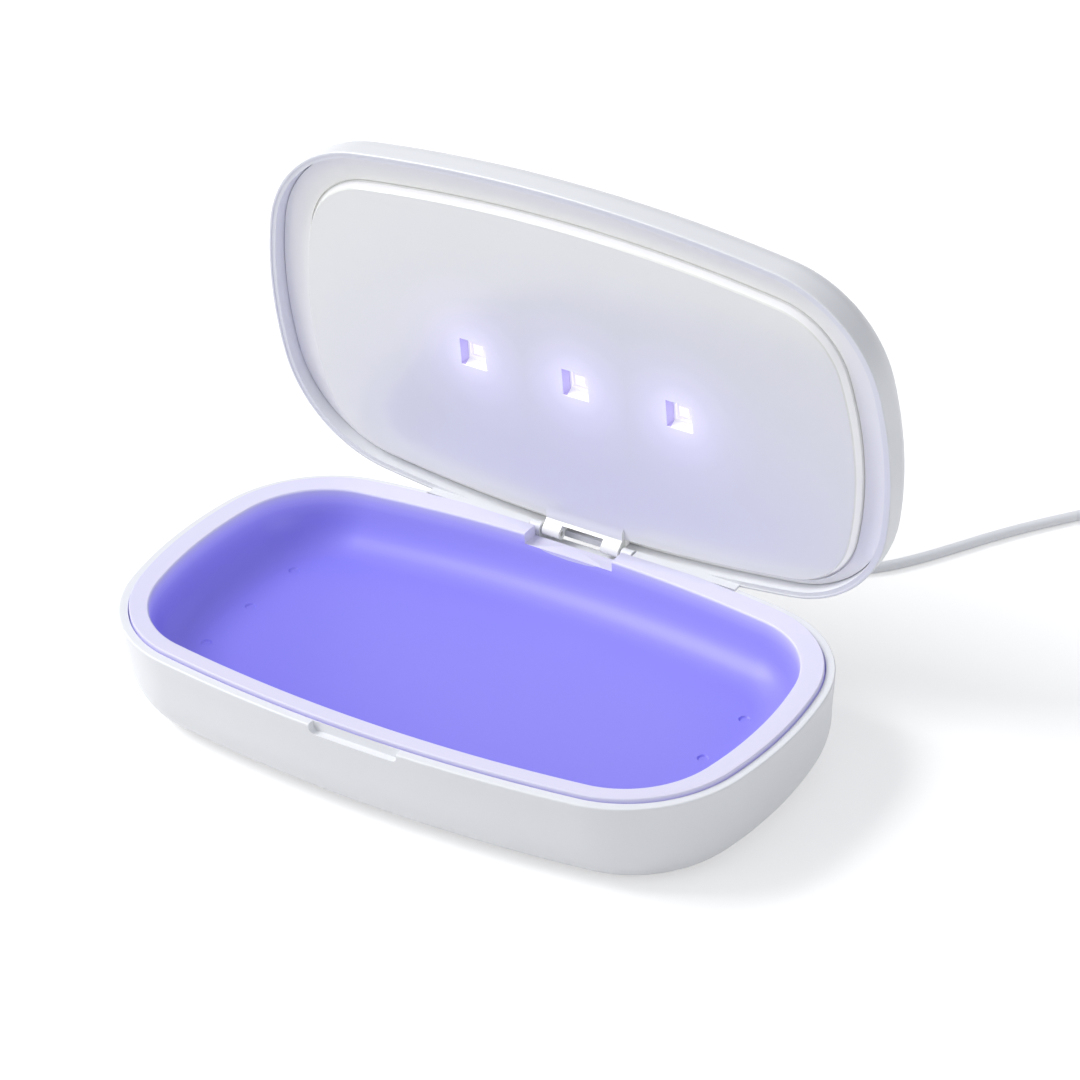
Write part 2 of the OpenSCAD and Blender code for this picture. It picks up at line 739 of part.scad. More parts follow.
module switch_screws() color([0.6, 0.61, 0.63]) opened() translate([button_x, button_y, switch_board_z - 1])
  for (s = [-1, 1]) translate([s * switch_screw_x, 0, 0]) screw(1.6, 1, 0.8, 4);

module light_ring() color([0.75, 0.8, 1]) opened() translate([button_x, button_y, lid_top - 0.8]) difference() {
  cylinder(h = 1, r = button_d / 2 + button_ring, $fn = 64);
  translate([0, 0, -1]) cylinder(h = 3, r = button_d / 2 + 0.6, $fn = 64);
}

// Cable

// Tube with round ends cut square, swept along points
module path_tube(path, r, sides) {
  n = len(path);
  dirs = [for (i = [0:n - 1]) unit(path[min(i + 1, n - 1)] - path[max(i - 1, 0)])];
  rings = [for (i = [0:n - 1]) let (s = unit(cross(dirs[i], [0, 0, 1])), u = cross(s, dirs[i]))
    for (k = [0:sides - 1]) path[i] + r * (cos(360 * k / sides) * s + sin(360 * k / sides) * u)];
  walls = [for (i = [0:n - 2]) for (k = [0:sides - 1]) let (j = (k + 1) % sides)
    [i * sides + k, i * sides + j, (i + 1) * sides + j, (i + 1) * sides + k]];
  first = [for (k = [0:sides - 1]) sides - 1 - k];
  last = [for (k = [0:sides - 1]) (n - 1) * sides + k];
  polyhedron(points = rings, faces = concat([first], walls, [last]));
}

function unit(v) = v / norm(v);

// Smooth curve through hand chosen points
function smooth(p, steps) = let (n = len(p)) concat([for (i = [0:n - 2]) for (k = [0:steps - 1])
  let (a = p[max(i - 1, 0)], b = p[i], c = p[i + 1], d = p[min(i + 2, n - 1)], t = k / steps)
    0.5 * (2 * b + (c - a) * t + (2 * a - 5 * b + 4 * c - d) * t * t + (3 * b - a - 3 * c + d) * t * t * t)],
  [p[n - 1]]);

module cable() placed() color([0.85, 0.86, 0.88]) path_tube(smooth(cable_route, 2), cable_r, 8);

module cable_tail() placed() color([0.85, 0.86, 0.88]) translate([coil_x, coil_y, 0])
  path_tube(smooth(tail_route, 2), cable_r, 8);

module cable_coil() placed() color([0.85, 0.86, 0.88]) translate([coil_x, coil_y, 0])
  rotate_extrude($fn = 64)
  translate([coil_r, coil_high / 2]) {
    square([coil_wide, coil_high - cable_d], center = true);
    square([coil_wide - cable_d, coil_high], center = true);
    for (sx = [-1, 1], sy = [-1, 1])
      translate([sx * (coil_wide - cable_d) / 2, sy * (coil_high - cable_d) / 2]) circle(cable_r, $fn = 24);
  }

module cable_tie() placed() color([0.2, 0.2, 0.21]) translate([coil_x, coil_y - coil_r, 0]) {
  t = 0.8;
  play = 0.3;
  difference() {
    translate([-2.5, -coil_wide / 2 - t - play, 0]) cube([5, coil_wide + 2 * t + 2 * play, coil_high + t]);
    translate([-3, -coil_wide / 2 - play, -1]) cube([6, coil_wide + 2 * play, coil_high + 1]);
  }
}

module plug_body() placed() color([0.9, 0.91, 0.93]) translate([socket_x, pocket_y, socket_z])
  rotate([-90, 0, 0]) {
  linear_extrude(12) slot_shape(12, 6.6);
  translate([0, 0, 11.9])
    cylinder(h = cable_route[0][1] - pocket_y - 11.9, r1 = 2.9, r2 = cable_r + 0.4);
}

module plug_tongue() placed() color([0.7, 0.71, 0.73]) translate([socket_x, pocket_y, socket_z])
  rotate([90, 0, 0]) linear_extrude(6.6) slot_shape(8.3, 2.5);

// The charger end, with X towards its shell
module charger_place() {
  end = tail_route[len(tail_route) - 1];
  placed() translate([coil_x + end[0], coil_y + end[1], coil_high + charger_h / 2])
    rotate([0, 0, charger_turn]) children();
}

module charger_body() color([0.9, 0.91, 0.93]) charger_place() {
  rotate([0, 90, 0]) cylinder(h = 6, r1 = cable_r + 0.4, r2 = 3);
  translate([5.9, -7.8, -charger_h / 2]) cube([20, 15.6, charger_h]);
}

module charger_shell() color([0.7, 0.71, 0.73]) charger_place() difference() {
  translate([25.9, -6, -2.25]) cube([12, 12, 4.5]);
  translate([27.9, -5.6, -1.85]) cube([12, 11.2, 3.7]);
}

base_shell();
tray();
feet();
base_screws();
main_board();
board_parts();
board_screws();
usb_socket();
hinge_pins();
lid_shell();
lid_liner();
lamp_board();
lamp_bodies();
lamp_windows();
lamp_screws();
lamp_socket();
start_button();
switch_board();
switch_screws();
tact_switch();
light_ring();
plug_tongue();
plug_body();
cable();
cable_coil();
cable_tail();
cable_tie();
charger_body();
charger_shell();
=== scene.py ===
# %% [markdown]
# An ultraviolet sanitizer box with its lid open and its tub glowing violet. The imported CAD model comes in
# as a fixed frame. The parts that one sees most, the four plastic mouldings, are then modelled again as
# smooth meshes, each exactly where its CAD solid is, and the small parts inside keep their CAD shape and
# get a better finish.

# %% Load the frame
import bpy
import bmesh
import math
from mathutils import Matrix, Vector


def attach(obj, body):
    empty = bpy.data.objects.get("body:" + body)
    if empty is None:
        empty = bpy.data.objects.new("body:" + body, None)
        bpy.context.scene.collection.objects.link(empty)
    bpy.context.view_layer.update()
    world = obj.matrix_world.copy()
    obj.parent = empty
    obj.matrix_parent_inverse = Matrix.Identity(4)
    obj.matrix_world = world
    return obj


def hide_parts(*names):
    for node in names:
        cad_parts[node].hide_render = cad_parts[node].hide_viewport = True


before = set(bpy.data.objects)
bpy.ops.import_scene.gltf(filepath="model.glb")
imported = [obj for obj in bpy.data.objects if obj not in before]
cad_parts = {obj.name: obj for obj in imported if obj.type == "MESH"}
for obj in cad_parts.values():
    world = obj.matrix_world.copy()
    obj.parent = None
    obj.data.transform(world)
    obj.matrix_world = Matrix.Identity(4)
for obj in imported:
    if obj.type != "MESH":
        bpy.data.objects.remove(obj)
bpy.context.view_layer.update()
print("nodes:", sorted(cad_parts))

# %% [markdown]
# The driving sizes are in millimetres, as on a drawing, and one factor turns them into metres. Heights of
# the base are measured from the table. The lid is drawn closed, with heights above the seam, because that
# is how its mould is made, and it is swung open at the end. All of it is drawn about the centre of the
# base, while the frame's origin lies under the middle of the open box, so at the very end it is all moved
# forward by the small distance between the two.

# %% Driving sizes
MM = 0.001
BODY_LEN, BODY_DEP = 228.0, 128.0
BOW_LONG, BOW_END, CORNER_R = 532.0, 131.0, 42.5
body_sizes = (BODY_LEN / 2, BODY_DEP / 2, BOW_LONG, BOW_END, CORNER_R)
WALL, SEAM_Z, FOOT = 2.4, 32.8, 0.8
BOWL_X, BOWL_Z, DRAFT = 13.0, 18.0, 1.5
INNER_X, INNER_Z, INNER_START_Z = 10.6, 15.6, 10.56
WALL_EDGE = WALL + 0.5
RIM_EDGE = WALL_EDGE + 0.4
RIM_PROUD, SKIRT_DEEP, SKIN = 1.4, 5.0, 2.0
END_LAND, FRONT_LAND, REAR_LAND = 10.6, 8.9, 11.0
TUB_LEN, TUB_DEP = BODY_LEN - 2 * END_LAND, BODY_DEP - FRONT_LAND - REAR_LAND
TUB_Y, TUB_R, TUB_DEEP, TUB_BAND = (FRONT_LAND - REAR_LAND) / 2, 31.0, 15.7, 3.0
HINGE_Y, HINGE_Z, LUG_R = BODY_DEP / 2 - 3, SEAM_Z - 0.6, 1.9
LID_OPEN = 88.5
LID_TOP, LID_SPREAD = 17.5, 13.0
PANEL_END, PANEL_FRONT, PANEL_REAR = 13.5, 13.6, 5.8
PANEL_LEN, PANEL_DEP = BODY_LEN - 2 * PANEL_END, BODY_DEP - PANEL_FRONT - PANEL_REAR
PANEL_R, PANEL_Y = 26.0, (PANEL_FRONT - PANEL_REAR) / 2
PANEL_Z, BAND_Z = 1.9, 4.9
WELL_PITCH, WELL_Y, WELL_MOUTH, WELL_FOOT = 38.0, PANEL_Y + 0.9, 9.5, 7.0
NOTCH_HALF, NOTCH_DEEP = 16.0, 3.2
turned = math.radians(LID_OPEN)
rear_reach = (HINGE_Y + (BODY_DEP / 2 - LID_SPREAD - HINGE_Y) * math.cos(turned)
              + (SEAM_Z + LID_TOP - HINGE_Z) * math.sin(turned))
front_reach = BODY_DEP / 2 - NOTCH_HALF ** 2 / (2 * BOW_LONG)
BACK_SHIFT = (rear_reach - front_reach) / 2
SCREW_X, SCREW_Y = TUB_LEN / 2 - 19.4, TUB_DEP / 2 - 30
SCREW_R, HEAD_R, BOSS_R = 1.35, 2.9, 4.0
FOOT_X, FOOT_Y, FOOT_R = BODY_LEN / 2 - 32, BODY_DEP / 2 - 28, 6.0
DIMPLE_PITCH, DIMPLE_LOW_R, DIMPLE_R = 23.3, 1.35, 1.95
BOARD_POSTS = (-47.5, -19, 19, 47.5)
print("centre of the base behind the origin by", round(-BACK_SHIFT, 3), "mm")

# %% [markdown]
# The camera stands where the photograph was taken from: to the right of the front, about 33 degrees up, far
# away with a long lens, and rolled a little.

# %% Camera
AZIMUTH, ELEVATION, ROLL = math.radians(35.9), math.radians(32.99), math.radians(-3.8)
LENS, CAMERA_AWAY = 194.1, 1.81815
TARGET = Vector((-11.26, 53.99 - BACK_SHIFT, SEAM_Z)) * MM
back = Vector((math.sin(AZIMUTH) * math.cos(ELEVATION), -math.cos(AZIMUTH) * math.cos(ELEVATION),
               math.sin(ELEVATION)))
level = Vector((math.cos(AZIMUTH), math.sin(AZIMUTH), 0))
upright = back.cross(level)
right = level * math.cos(ROLL) + upright * math.sin(ROLL)
up = upright * math.cos(ROLL) - level * math.sin(ROLL)
cam_data = bpy.data.cameras.new("camera")
cam_data.lens, cam_data.sensor_width = LENS, 36
camera = bpy.data.objects.new("camera", cam_data)
bpy.context.scene.collection.objects.link(camera)
place = TARGET + back * CAMERA_AWAY
camera.matrix_world = Matrix(((right.x, up.x, back.x, place.x), (right.y, up.y, back.y, place.y),
                              (right.z, up.z, back.z, place.z), (0, 0, 0, 1)))
bpy.context.scene.camera = camera
print("camera at", [round(v, 3) for v in place])

# %% [markdown]
# The cable is made before anything else that is new. It leaves its strain relief behind the box, drops to
# the table and runs away to the right, where the photograph cuts it off. The rest of its metre is wound
# into a small coil just outside the view: six turns, three beside each other and two high, and the end lies
# on top. A curve with a round bevel is the natural way to draw a cable, because it stays editable as a
# route.

# %% Cable route
CABLE_D = 3.5
COIL = Vector((144.5, 204.5, 0))
ROUTE = [(12, 79, 11.5), (12, 83, 11.3), (12.6, 88, 10), (14.2, 93, 7.4), (17, 98, 4.6), (21, 103, 2.6),
         (27, 107.8, 1.85), (34, 112, 1.75), (42, 116.4, 1.75), (50, 121.2, 1.75), (58, 126.6, 1.75),
         (66, 133.6, 1.75), (73, 142.6, 1.75), (80, 153.6, 1.75), (87, 165, 1.75), (95, 176.5, 1.75),
         (104, 188, 1.75), (112.5, 198.5, 1.75), (118.6, 208, 1.75)]
TAIL = [(-22.2, -6, 6.6), (-22, 0, 7.9), (-20.3, 5.4, 8.7), (-17.8, 10.2, 8.8), (-14.5, 14.5, 8.8),
        (-10.2, 17.8, 8.8), (-5.3, 19.8, 8.8), (0, 20.5, 8.8), (5.3, 19.8, 9.2), (10.2, 17.8, 9.9),
        (14, 15, 10.6), (17.2, 11.2, 11)]


def smooth_share(t):
    """0 to 1 with a soft start and end."""
    t = min(max(t, 0), 1)
    return t * t * (3 - 2 * t)


def coil_turns(per_turn=24, start=148.6, shift=60):
    """Points of the six turns, clockwise. Each turn moves to the next place in its last 60 degrees."""
    rows = [(24, 1.75), (20.5, 1.75), (17, 1.75), (17, 5.25), (20.5, 5.25), (24, 5.25)]
    points = []
    for turn, (radius, height) in enumerate(rows):
        next_radius, next_height = rows[turn + 1] if turn < 5 else (22.2, 6.6)
        for k in range(per_turn):
            gone = 360 * k / per_turn
            if turn == 5 and gone > 290:
                break
            share = smooth_share((gone - 295) / shift)
            angle = math.radians(start - gone)
            r = radius + (next_radius - radius) * share
            z = height + (next_height - height) * share
            points.append((COIL.x + r * math.cos(angle), COIL.y + r * math.sin(angle), z))
    return points


route = ROUTE + coil_turns() + [(COIL.x + x, COIL.y + y, z) for x, y, z in TAIL]
print("cable points:", len(route))


# %% [markdown]
# The curve's knots get automatic handles, so that the spline flows smoothly through them.

# %% Cable piece
def cable_curve(name, points, radius):
    """A round cable as one open spline through the points, in millimetres about the centre of the base.

    Its radius is kept on the knots and the bevel is 1, because the curve's own box reaches as far as the knots'
    radius."""
    data = bpy.data.curves.new(name, "CURVE")
    data.dimensions = "3D"
    data.bevel_depth = 1.0
    data.bevel_resolution = 4
    data.resolution_u = 3
    data.use_fill_caps = True
    spline = data.splines.new("BEZIER")
    spline.bezier_points.add(len(points) - 1)
    for (x, y, z), knot in zip(points, spline.bezier_points):
        knot.co = Vector((x, y - BACK_SHIFT, z)) * MM
        knot.handle_left_type = knot.handle_right_type = "AUTO"
        knot.radius = radius * MM
    obj = bpy.data.objects.new(name, data)
    bpy.context.scene.collection.objects.link(obj)
    return obj


cable = cable_curve("power_cable", route, CABLE_D / 2)
length = sum((Vector(a) - Vector(b)).length for a, b in zip(route, route[1:])) * MM
print("cable length about", round(length, 3), "m")

# %% [markdown]
# All mouldings share one way of working. A circle primitive with many corners is drawn out to the bowed
# outline, and its face then walks down a wall or across a rim: each step is one inset or extrusion. An
# inset keeps an even distance from the outline, so a wall, a ledge and a rounded edge all follow it, as a
# mould does.

# %% Edit mode helpers
def nothing_selected():
    """Object mode, with nothing selected and nothing active."""
    if bpy.context.mode != "OBJECT":
        bpy.ops.object.mode_set(mode="OBJECT")
    bpy.ops.object.select_all(action="DESELECT")


def work_on(obj):
    """Makes obj the only selected and active object."""
    nothing_selected()
    obj.select_set(True)
    bpy.context.view_layer.objects.active = obj


def arc_outline(half_len, half_dep, bow_long, bow_end, corner):
    """The outline's points: bowed ends, bowed long sides and round corners that flow into each other."""
    end_x, side_y = half_len - bow_end, half_dep - bow_long
    apart = math.hypot(end_x, side_y)
    p, q = bow_end - corner, bow_long - corner
    t = (p * p - q * q + apart * apart) / (2 * apart)
    h = math.sqrt(p * p - t * t)
    cx = end_x - t * end_x / apart - h * side_y / apart
    cy = t * side_y / apart - h * end_x / apart
    a1 = math.atan2(cy, cx - end_x)
    a2 = math.atan2(cy - side_y, cx)
    quarter = [(end_x + bow_end * math.cos(a1 * i / 6), bow_end * math.sin(a1 * i / 6)) for i in range(6)]
    quarter += [(cx + corner * math.cos(a1 + (a2 - a1) * i / 24),
                 cy + corner * math.sin(a1 + (a2 - a1) * i / 24)) for i in range(24)]
    quarter += [(bow_long * math.cos(a2 + (math.pi / 2 - a2) * i / 12),
                 side_y + bow_long * math.sin(a2 + (math.pi / 2 - a2) * i / 12)) for i in range(13)]
    n = len(quarter)
    return (quarter + [(-x, y) for x, y in reversed(quarter[:n - 1])] + [(-x, -y) for x, y in quarter[1:]]
            + [(x, -y) for x, y in reversed(quarter[1:n - 1])])


def outline_face(name, half_len, half_dep, bow_long, bow_end, corner, z, y=0.0):
    """A circle primitive drawn out to the outline, as one flat face at height z."""
    points = arc_outline(half_len, half_dep, bow_long, bow_end, corner)
    nothing_selected()
    bpy.ops.mesh.primitive_circle_add(vertices=len(points), radius=1, fill_type="NGON")
    obj = bpy.context.active_object
    obj.name = obj.data.name = name
    for vertex, (px, py) in zip(obj.data.vertices, points):
        vertex.co = Vector((px, py + y, z)) * MM
    bpy.ops.object.mode_set(mode="EDIT")
    bpy.ops.mesh.select_all(action="SELECT")
    bpy.ops.mesh.normals_make_consistent(inside=False)
    return obj


def walk(steps):
    """Takes the selected face through steps of (inset, rise) in millimetres, in edit mode."""
    for inward, rise in steps:
        if inward > 1e-6:
            bpy.ops.mesh.inset(thickness=inward * MM, use_even_offset=True)
            bpy.ops.transform.translate(value=(0, 0, rise * MM))
        else:
            bpy.ops.mesh.extrude_region_move(TRANSFORM_OT_translate={"value": (0, 0, rise * MM)})


def pick_face(obj, z, facing):
    """Selects the widest flat face at height z that looks up (1) or down (-1), in edit mode."""
    bpy.ops.mesh.select_mode(type="FACE")
    bpy.ops.mesh.select_all(action="DESELECT")
    mesh = bmesh.from_edit_mesh(obj.data)
    flat = [f for f in mesh.faces if abs(f.calc_center_median().z - z * MM) < 1e-5 and abs(f.normal.z) > 0.99]
    widest = max(flat, key=lambda f: (f.normal.z * facing > 0, f.calc_area()))
    widest.select_set(True)
    mesh.faces.active = widest
    bmesh.update_edit_mesh(obj.data)


def walk_from(obj, z, facing, steps):
    """Walks the flat face at height z that looks up (1) or down (-1)."""
    bpy.ops.mesh.select_all(action="SELECT")
    bpy.ops.mesh.normals_make_consistent(inside=False)
    pick_face(obj, z, facing)
    walk(steps)


def arc_steps(spread, tall, count, rise):
    """Steps round a quarter of an ellipse, from an upright wall to a flat face."""
    places = [(spread * (1 - math.cos(math.pi / 2 * k / count)), tall * math.sin(math.pi / 2 * k / count))
              for k in range(count + 1)]
    return [(b[0] - a[0], rise * (b[1] - a[1])) for a, b in zip(places, places[1:])]


def carve(obj, tool, how="DIFFERENCE"):
    """Cuts, joins or crosses obj with tool by a Boolean modifier, and takes the tool away."""
    work_on(obj)
    bpy.ops.object.modifier_add(type="BOOLEAN")
    modifier = obj.modifiers[-1]
    modifier.operation, modifier.solver, modifier.object = how, "EXACT", tool
    bpy.ops.object.modifier_apply(modifier=modifier.name)
    bpy.data.objects.remove(tool)
    return obj


def block(low, high):
    """A box between two corners in millimetres, used to cut or to join."""
    nothing_selected()
    middle = [(a + b) / 2 * MM for a, b in zip(low, high)]
    bpy.ops.mesh.primitive_cube_add(size=1, location=middle, scale=[(b - a) * MM for a, b in zip(low, high)])
    bpy.ops.object.transform_apply(location=True, rotation=True, scale=True)
    return bpy.context.active_object


def rod(x, y, z, radius, height, turn=(0, 0, 0), sides=48, top=None):
    """A cylinder or cone that stands on (x, y, z), in millimetres, turned about that point."""
    nothing_selected()
    bpy.ops.mesh.primitive_cone_add(vertices=sides, radius1=radius * MM,
                                    radius2=(radius if top is None else top) * MM, depth=height * MM)
    obj = bpy.context.active_object
    obj.matrix_world = (Matrix.Translation(Vector((x, y, z)) * MM)
                        @ Matrix.Rotation(turn[0], 4, "X") @ Matrix.Rotation(turn[1], 4, "Y")
                        @ Matrix.Rotation(turn[2], 4, "Z") @ Matrix.Translation((0, 0, height * MM / 2)))
    bpy.ops.object.transform_apply(location=True, rotation=True, scale=True)
    return obj


def body_prism(offset, z0, z1, name="prism"):
    """A solid of the body's outline, moved inward by offset, between two heights."""
    obj = outline_face(name, *[v - offset for v in body_sizes], z0)
    walk([(0, z1 - z0)])
    bpy.ops.object.mode_set(mode="OBJECT")
    return obj


def four(x, y):
    """The four corners of a rectangle about the origin."""
    return [(sx * x, sy * y) for sx in (-1, 1) for sy in (-1, 1)]


def finish_mesh(obj, bevel=0.0, angle=32):
    """Cleans a cut mesh, rounds its sharp edges a little and shades it smooth between them.

    Wide flat faces keep their own normals, so that cuts in them leave no rays in the gloss."""
    work_on(obj)
    bpy.ops.object.mode_set(mode="EDIT")
    bpy.ops.mesh.select_all(action="SELECT")
    bpy.ops.mesh.remove_doubles(threshold=0.00001)
    bpy.ops.mesh.normals_make_consistent(inside=False)
    bpy.ops.object.mode_set(mode="OBJECT")
    if bevel:
        bpy.ops.object.modifier_add(type="BEVEL")
        modifier = obj.modifiers[-1]
        modifier.width, modifier.segments, modifier.limit_method = bevel * MM, 2, "ANGLE"
        modifier.angle_limit = math.radians(48)
        modifier.use_clamp_overlap = True
        modifier.harden_normals = False
        bpy.ops.object.modifier_apply(modifier=modifier.name)
    bpy.ops.object.shade_smooth_by_angle(angle=math.radians(angle))
    bpy.ops.object.modifier_add(type="WEIGHTED_NORMAL")
    obj.modifiers[-1].keep_sharp = True
    bpy.ops.object.modifier_apply(modifier=obj.modifiers[-1].name)
    print(obj.name, "faces:", len(obj.data.polygons))


print("helpers ready")

# %% [markdown]
# The base shell is a bowl with a ledge. Its outline is raised a little to give the mesh a top and a bottom
# face. The top face walks over the rounded edge, across the ledge and down inside. The bottom face walks
# down the drafted wall and round the soft lower edge to the flat underside.

# %% Base shell
base = outline_face("base_shell_moulding", *body_sizes, SEAM_Z - 0.9)
walk([(0, 0.35), (0.06, 0.25), (0.14, 0.18), (0.3, 0.12), (WALL_EDGE - 0.5, 0), (0, -SKIRT_DEEP), (2.6, 0),
      (0, INNER_START_Z - (SEAM_Z - SKIRT_DEEP))])
inner = [(INNER_X * (1 - math.cos(math.radians(t))), INNER_Z * math.sin(math.radians(t)))
         for t in (31.9, 45, 60, 75, 90)]
walk([(b[0] - a[0], -(b[1] - a[1])) for a, b in zip(inner, inner[1:])])
walk_from(base, SEAM_Z - 0.9, -1,
          [(DRAFT, -(SEAM_Z - 0.9 - FOOT - BOWL_Z))] + arc_steps(BOWL_X, BOWL_Z, 14, -1))
print("bowl walked down to", FOOT, "mm above the table")

# %% [markdown]
# Behind, the wall is lowered so that the open lid can stand there. A rail with two lugs carries the hinge
# pins. In front, a shallow notch lets a fingertip lift the lid. Cutters are made from primitives, and
# Boolean modifiers apply them, because each cut crosses curved walls that would be tedious to open by hand.

# %% Base shell cuts
RELIEF_HALF, RELIEF_Y, RAIL_Z = 58.0, HINGE_Y - 2.4, SEAM_Z - 4.4
carve(base, block((-RELIEF_HALF, RELIEF_Y - SKIN - 0.3, RAIL_Z), (RELIEF_HALF, 66, SEAM_Z + 2)))
rail = block((-RELIEF_HALF - 1, RELIEF_Y + 0.3, SEAM_Z - 11.4), (RELIEF_HALF + 1, 64, RAIL_Z))
lower = block((-60, RELIEF_Y - SKIN - 0.3, SEAM_Z - 11.4), (60, RELIEF_Y + 1, SEAM_Z - SKIRT_DEEP))
carve(rail, lower, "UNION")
carve(rail, body_prism(DRAFT, SEAM_Z - 12, SEAM_Z), "INTERSECT")
carve(base, rail, "UNION")
for side in (-1, 1):
    x0, x1 = sorted((side * 15.1, side * 19))
    lug = block((x0, HINGE_Y - LUG_R, SEAM_Z - 6), (x1, HINGE_Y + LUG_R, HINGE_Z))
    carve(lug, rod(x0, HINGE_Y, HINGE_Z, LUG_R, x1 - x0, (0, math.pi / 2, 0)), "UNION")
    carve(base, lug, "UNION")
    bore = sorted((side * 14.1, side * 18.2))
    carve(base, rod(bore[0], HINGE_Y, HINGE_Z, 0.8, bore[1] - bore[0], (0, math.pi / 2, 0), 32))


def rounded_bar(low, high, radius, axis_edges):
    """A box with the edges along one axis rounded, as a cutter for soft-cornered openings."""
    obj = block(low, high)
    work_on(obj)
    bpy.ops.object.mode_set(mode="EDIT")
    bpy.ops.mesh.select_mode(type="EDGE")
    bpy.ops.mesh.select_all(action="DESELECT")
    mesh = bmesh.from_edit_mesh(obj.data)
    for edge in mesh.edges:
        way = (edge.verts[1].co - edge.verts[0].co).normalized()
        edge.select_set(abs(way[axis_edges]) > 0.99)
    bmesh.update_edit_mesh(obj.data)
    bpy.ops.mesh.bevel(offset=radius * MM, segments=8, affect="EDGES")
    bpy.ops.object.mode_set(mode="OBJECT")
    return obj


carve(base, rounded_bar((-NOTCH_HALF, -67, SEAM_Z - NOTCH_DEEP), (NOTCH_HALF, -61.2, SEAM_Z + 6), 2, 1))
SOCKET_X, SOCKET_Z, POCKET_Y = 12.0, 11.5, 59.4
pad = block((SOCKET_X - 11, POCKET_Y - 2, 3), (SOCKET_X + 11, 64, SEAM_Z - 9))
bowl = outline_face("bowl", *[v - 0.6 for v in body_sizes], SEAM_Z - 2)
walk([(0, 0.5)])
walk_from(bowl, SEAM_Z - 2, -1,
          [(DRAFT, -(SEAM_Z - 2 - FOOT - BOWL_Z))] + arc_steps(BOWL_X, BOWL_Z - 0.6, 14, -1))
bpy.ops.object.mode_set(mode="OBJECT")
carve(pad, bowl, "INTERSECT")
carve(base, pad, "UNION")
carve(base, rounded_bar((SOCKET_X - 7, POCKET_Y, SOCKET_Z - 4.2), (SOCKET_X + 7, 68, SOCKET_Z + 4.2), 2.6, 1))
carve(base, rounded_bar((SOCKET_X - 4.7, 55, SOCKET_Z - 1.9), (SOCKET_X + 4.7, 61, SOCKET_Z + 1.9), 1.85, 1))
for x, y in four(SCREW_X, SCREW_Y):
    carve(base, rod(x, y, 1.3, BOSS_R, 10.8), "UNION")
    carve(base, rod(x, y, 0, SCREW_R, 14, sides=24))
    carve(base, rod(x, y, 0, HEAD_R, 7, sides=32))
for x, y in four(FOOT_X, FOOT_Y):
    carve(base, rod(x, y, 0, FOOT_R, 1.6))
finish_mesh(base, 0.18)

# %% [markdown]
# The tray is the white inner moulding: a flat rim that stands proud of the seam, and the tub inside it. The
# tub has a short upright band under its rounded edge and then one long soft curve down to a glossy floor.
# The tub is walked as two solids of its own, one that is joined to the rim and one that hollows it out. The
# small dimples in the floor slope at 45 degrees, which the bevel leaves alone, so that the floor round them
# stays flat.

# %% Tray rim
tray = outline_face("tray_moulding", *[v - RIM_EDGE for v in body_sizes], SEAM_Z - SKIRT_DEEP)
walk([(0, SKIRT_DEEP + RIM_PROUD - 0.5), (0.08, 0.25), (0.12, 0.15), (0.2, 0.1)])
walk_from(tray, SEAM_Z - SKIRT_DEEP, -1, [(SKIN, 0), (0, SKIRT_DEEP - 0.6)])
bpy.ops.object.mode_set(mode="OBJECT")
print("rim stands", RIM_PROUD, "mm proud of the seam")

# %% [markdown]
# The tub's outline follows the same rule as the body's, with even lands at the ends, in front and behind.
# Small steps round its upper edge, and a quarter of an ellipse leads down to the floor.

# %% Tray tub
def tub_outline(name, offset, z):
    """The tub's outline as one flat face, moved inward by offset."""
    return outline_face(name, TUB_LEN / 2 - offset, TUB_DEP / 2 - offset, BOW_LONG - FRONT_LAND - offset,
                        BOW_END - END_LAND - offset, TUB_R - offset, z, TUB_Y)


FLOOR_Z, RIM_Z = SEAM_Z - TUB_DEEP, SEAM_Z + RIM_PROUD
outside = tub_outline("tub_outside", -SKIN, SEAM_Z)
walk_from(outside, SEAM_Z, 1, [(0, 0.3)])
walk_from(outside, SEAM_Z, -1, [(0, -3), (2.5, FLOOR_Z + 5 - (SEAM_Z - 3)), (5.5, -4.8), (9, -2.2)])
bpy.ops.object.mode_set(mode="OBJECT")
carve(tray, outside, "UNION")
for low, high in (((-46, RELIEF_Y - SKIN, SEAM_Z - SKIRT_DEEP), (46, RELIEF_Y, SEAM_Z)),
                  ((-18.3, 53, SEAM_Z - SKIRT_DEEP), (18.3, RELIEF_Y, SEAM_Z))):
    carve(tray, block(low, high), "UNION")
inside = tub_outline("tub_inside", -0.7, RIM_Z + 1)
walk([(0, 1)])
rounded = [(0, -0.95), (0.22, -0.09), (0.22, -0.16), (0.16, -0.25), (0.1, -0.35), (0, -TUB_BAND + 0.8)]
walk_from(inside, RIM_Z + 1, -1, rounded + arc_steps(15, TUB_DEEP + RIM_PROUD - TUB_BAND, 18, -1))
bpy.ops.object.mode_set(mode="OBJECT")
carve(tray, inside)
carve(tray, block((-58.3, RELIEF_Y, SEAM_Z - 8), (58.3, 66, RIM_Z + 2)))
carve(tray, block((-16.3, 52, SEAM_Z - 2.3), (16.3, RELIEF_Y + 1, RIM_Z + 2)))
for x, y in four(SCREW_X, SCREW_Y):
    carve(tray, rod(x, y, FLOOR_Z - 4.8, 3.6, 3.4), "UNION")
    carve(tray, rod(x, y, FLOOR_Z - 5, 1.25, 3, sides=24))
for x in (-SCREW_X, SCREW_X):
    for i in (-1, 0, 1):
        carve(tray, rod(x, TUB_Y - 1 + i * DIMPLE_PITCH, FLOOR_Z - 0.5, DIMPLE_LOW_R, 0.6, top=DIMPLE_R))
finish_mesh(tray, 0.15)

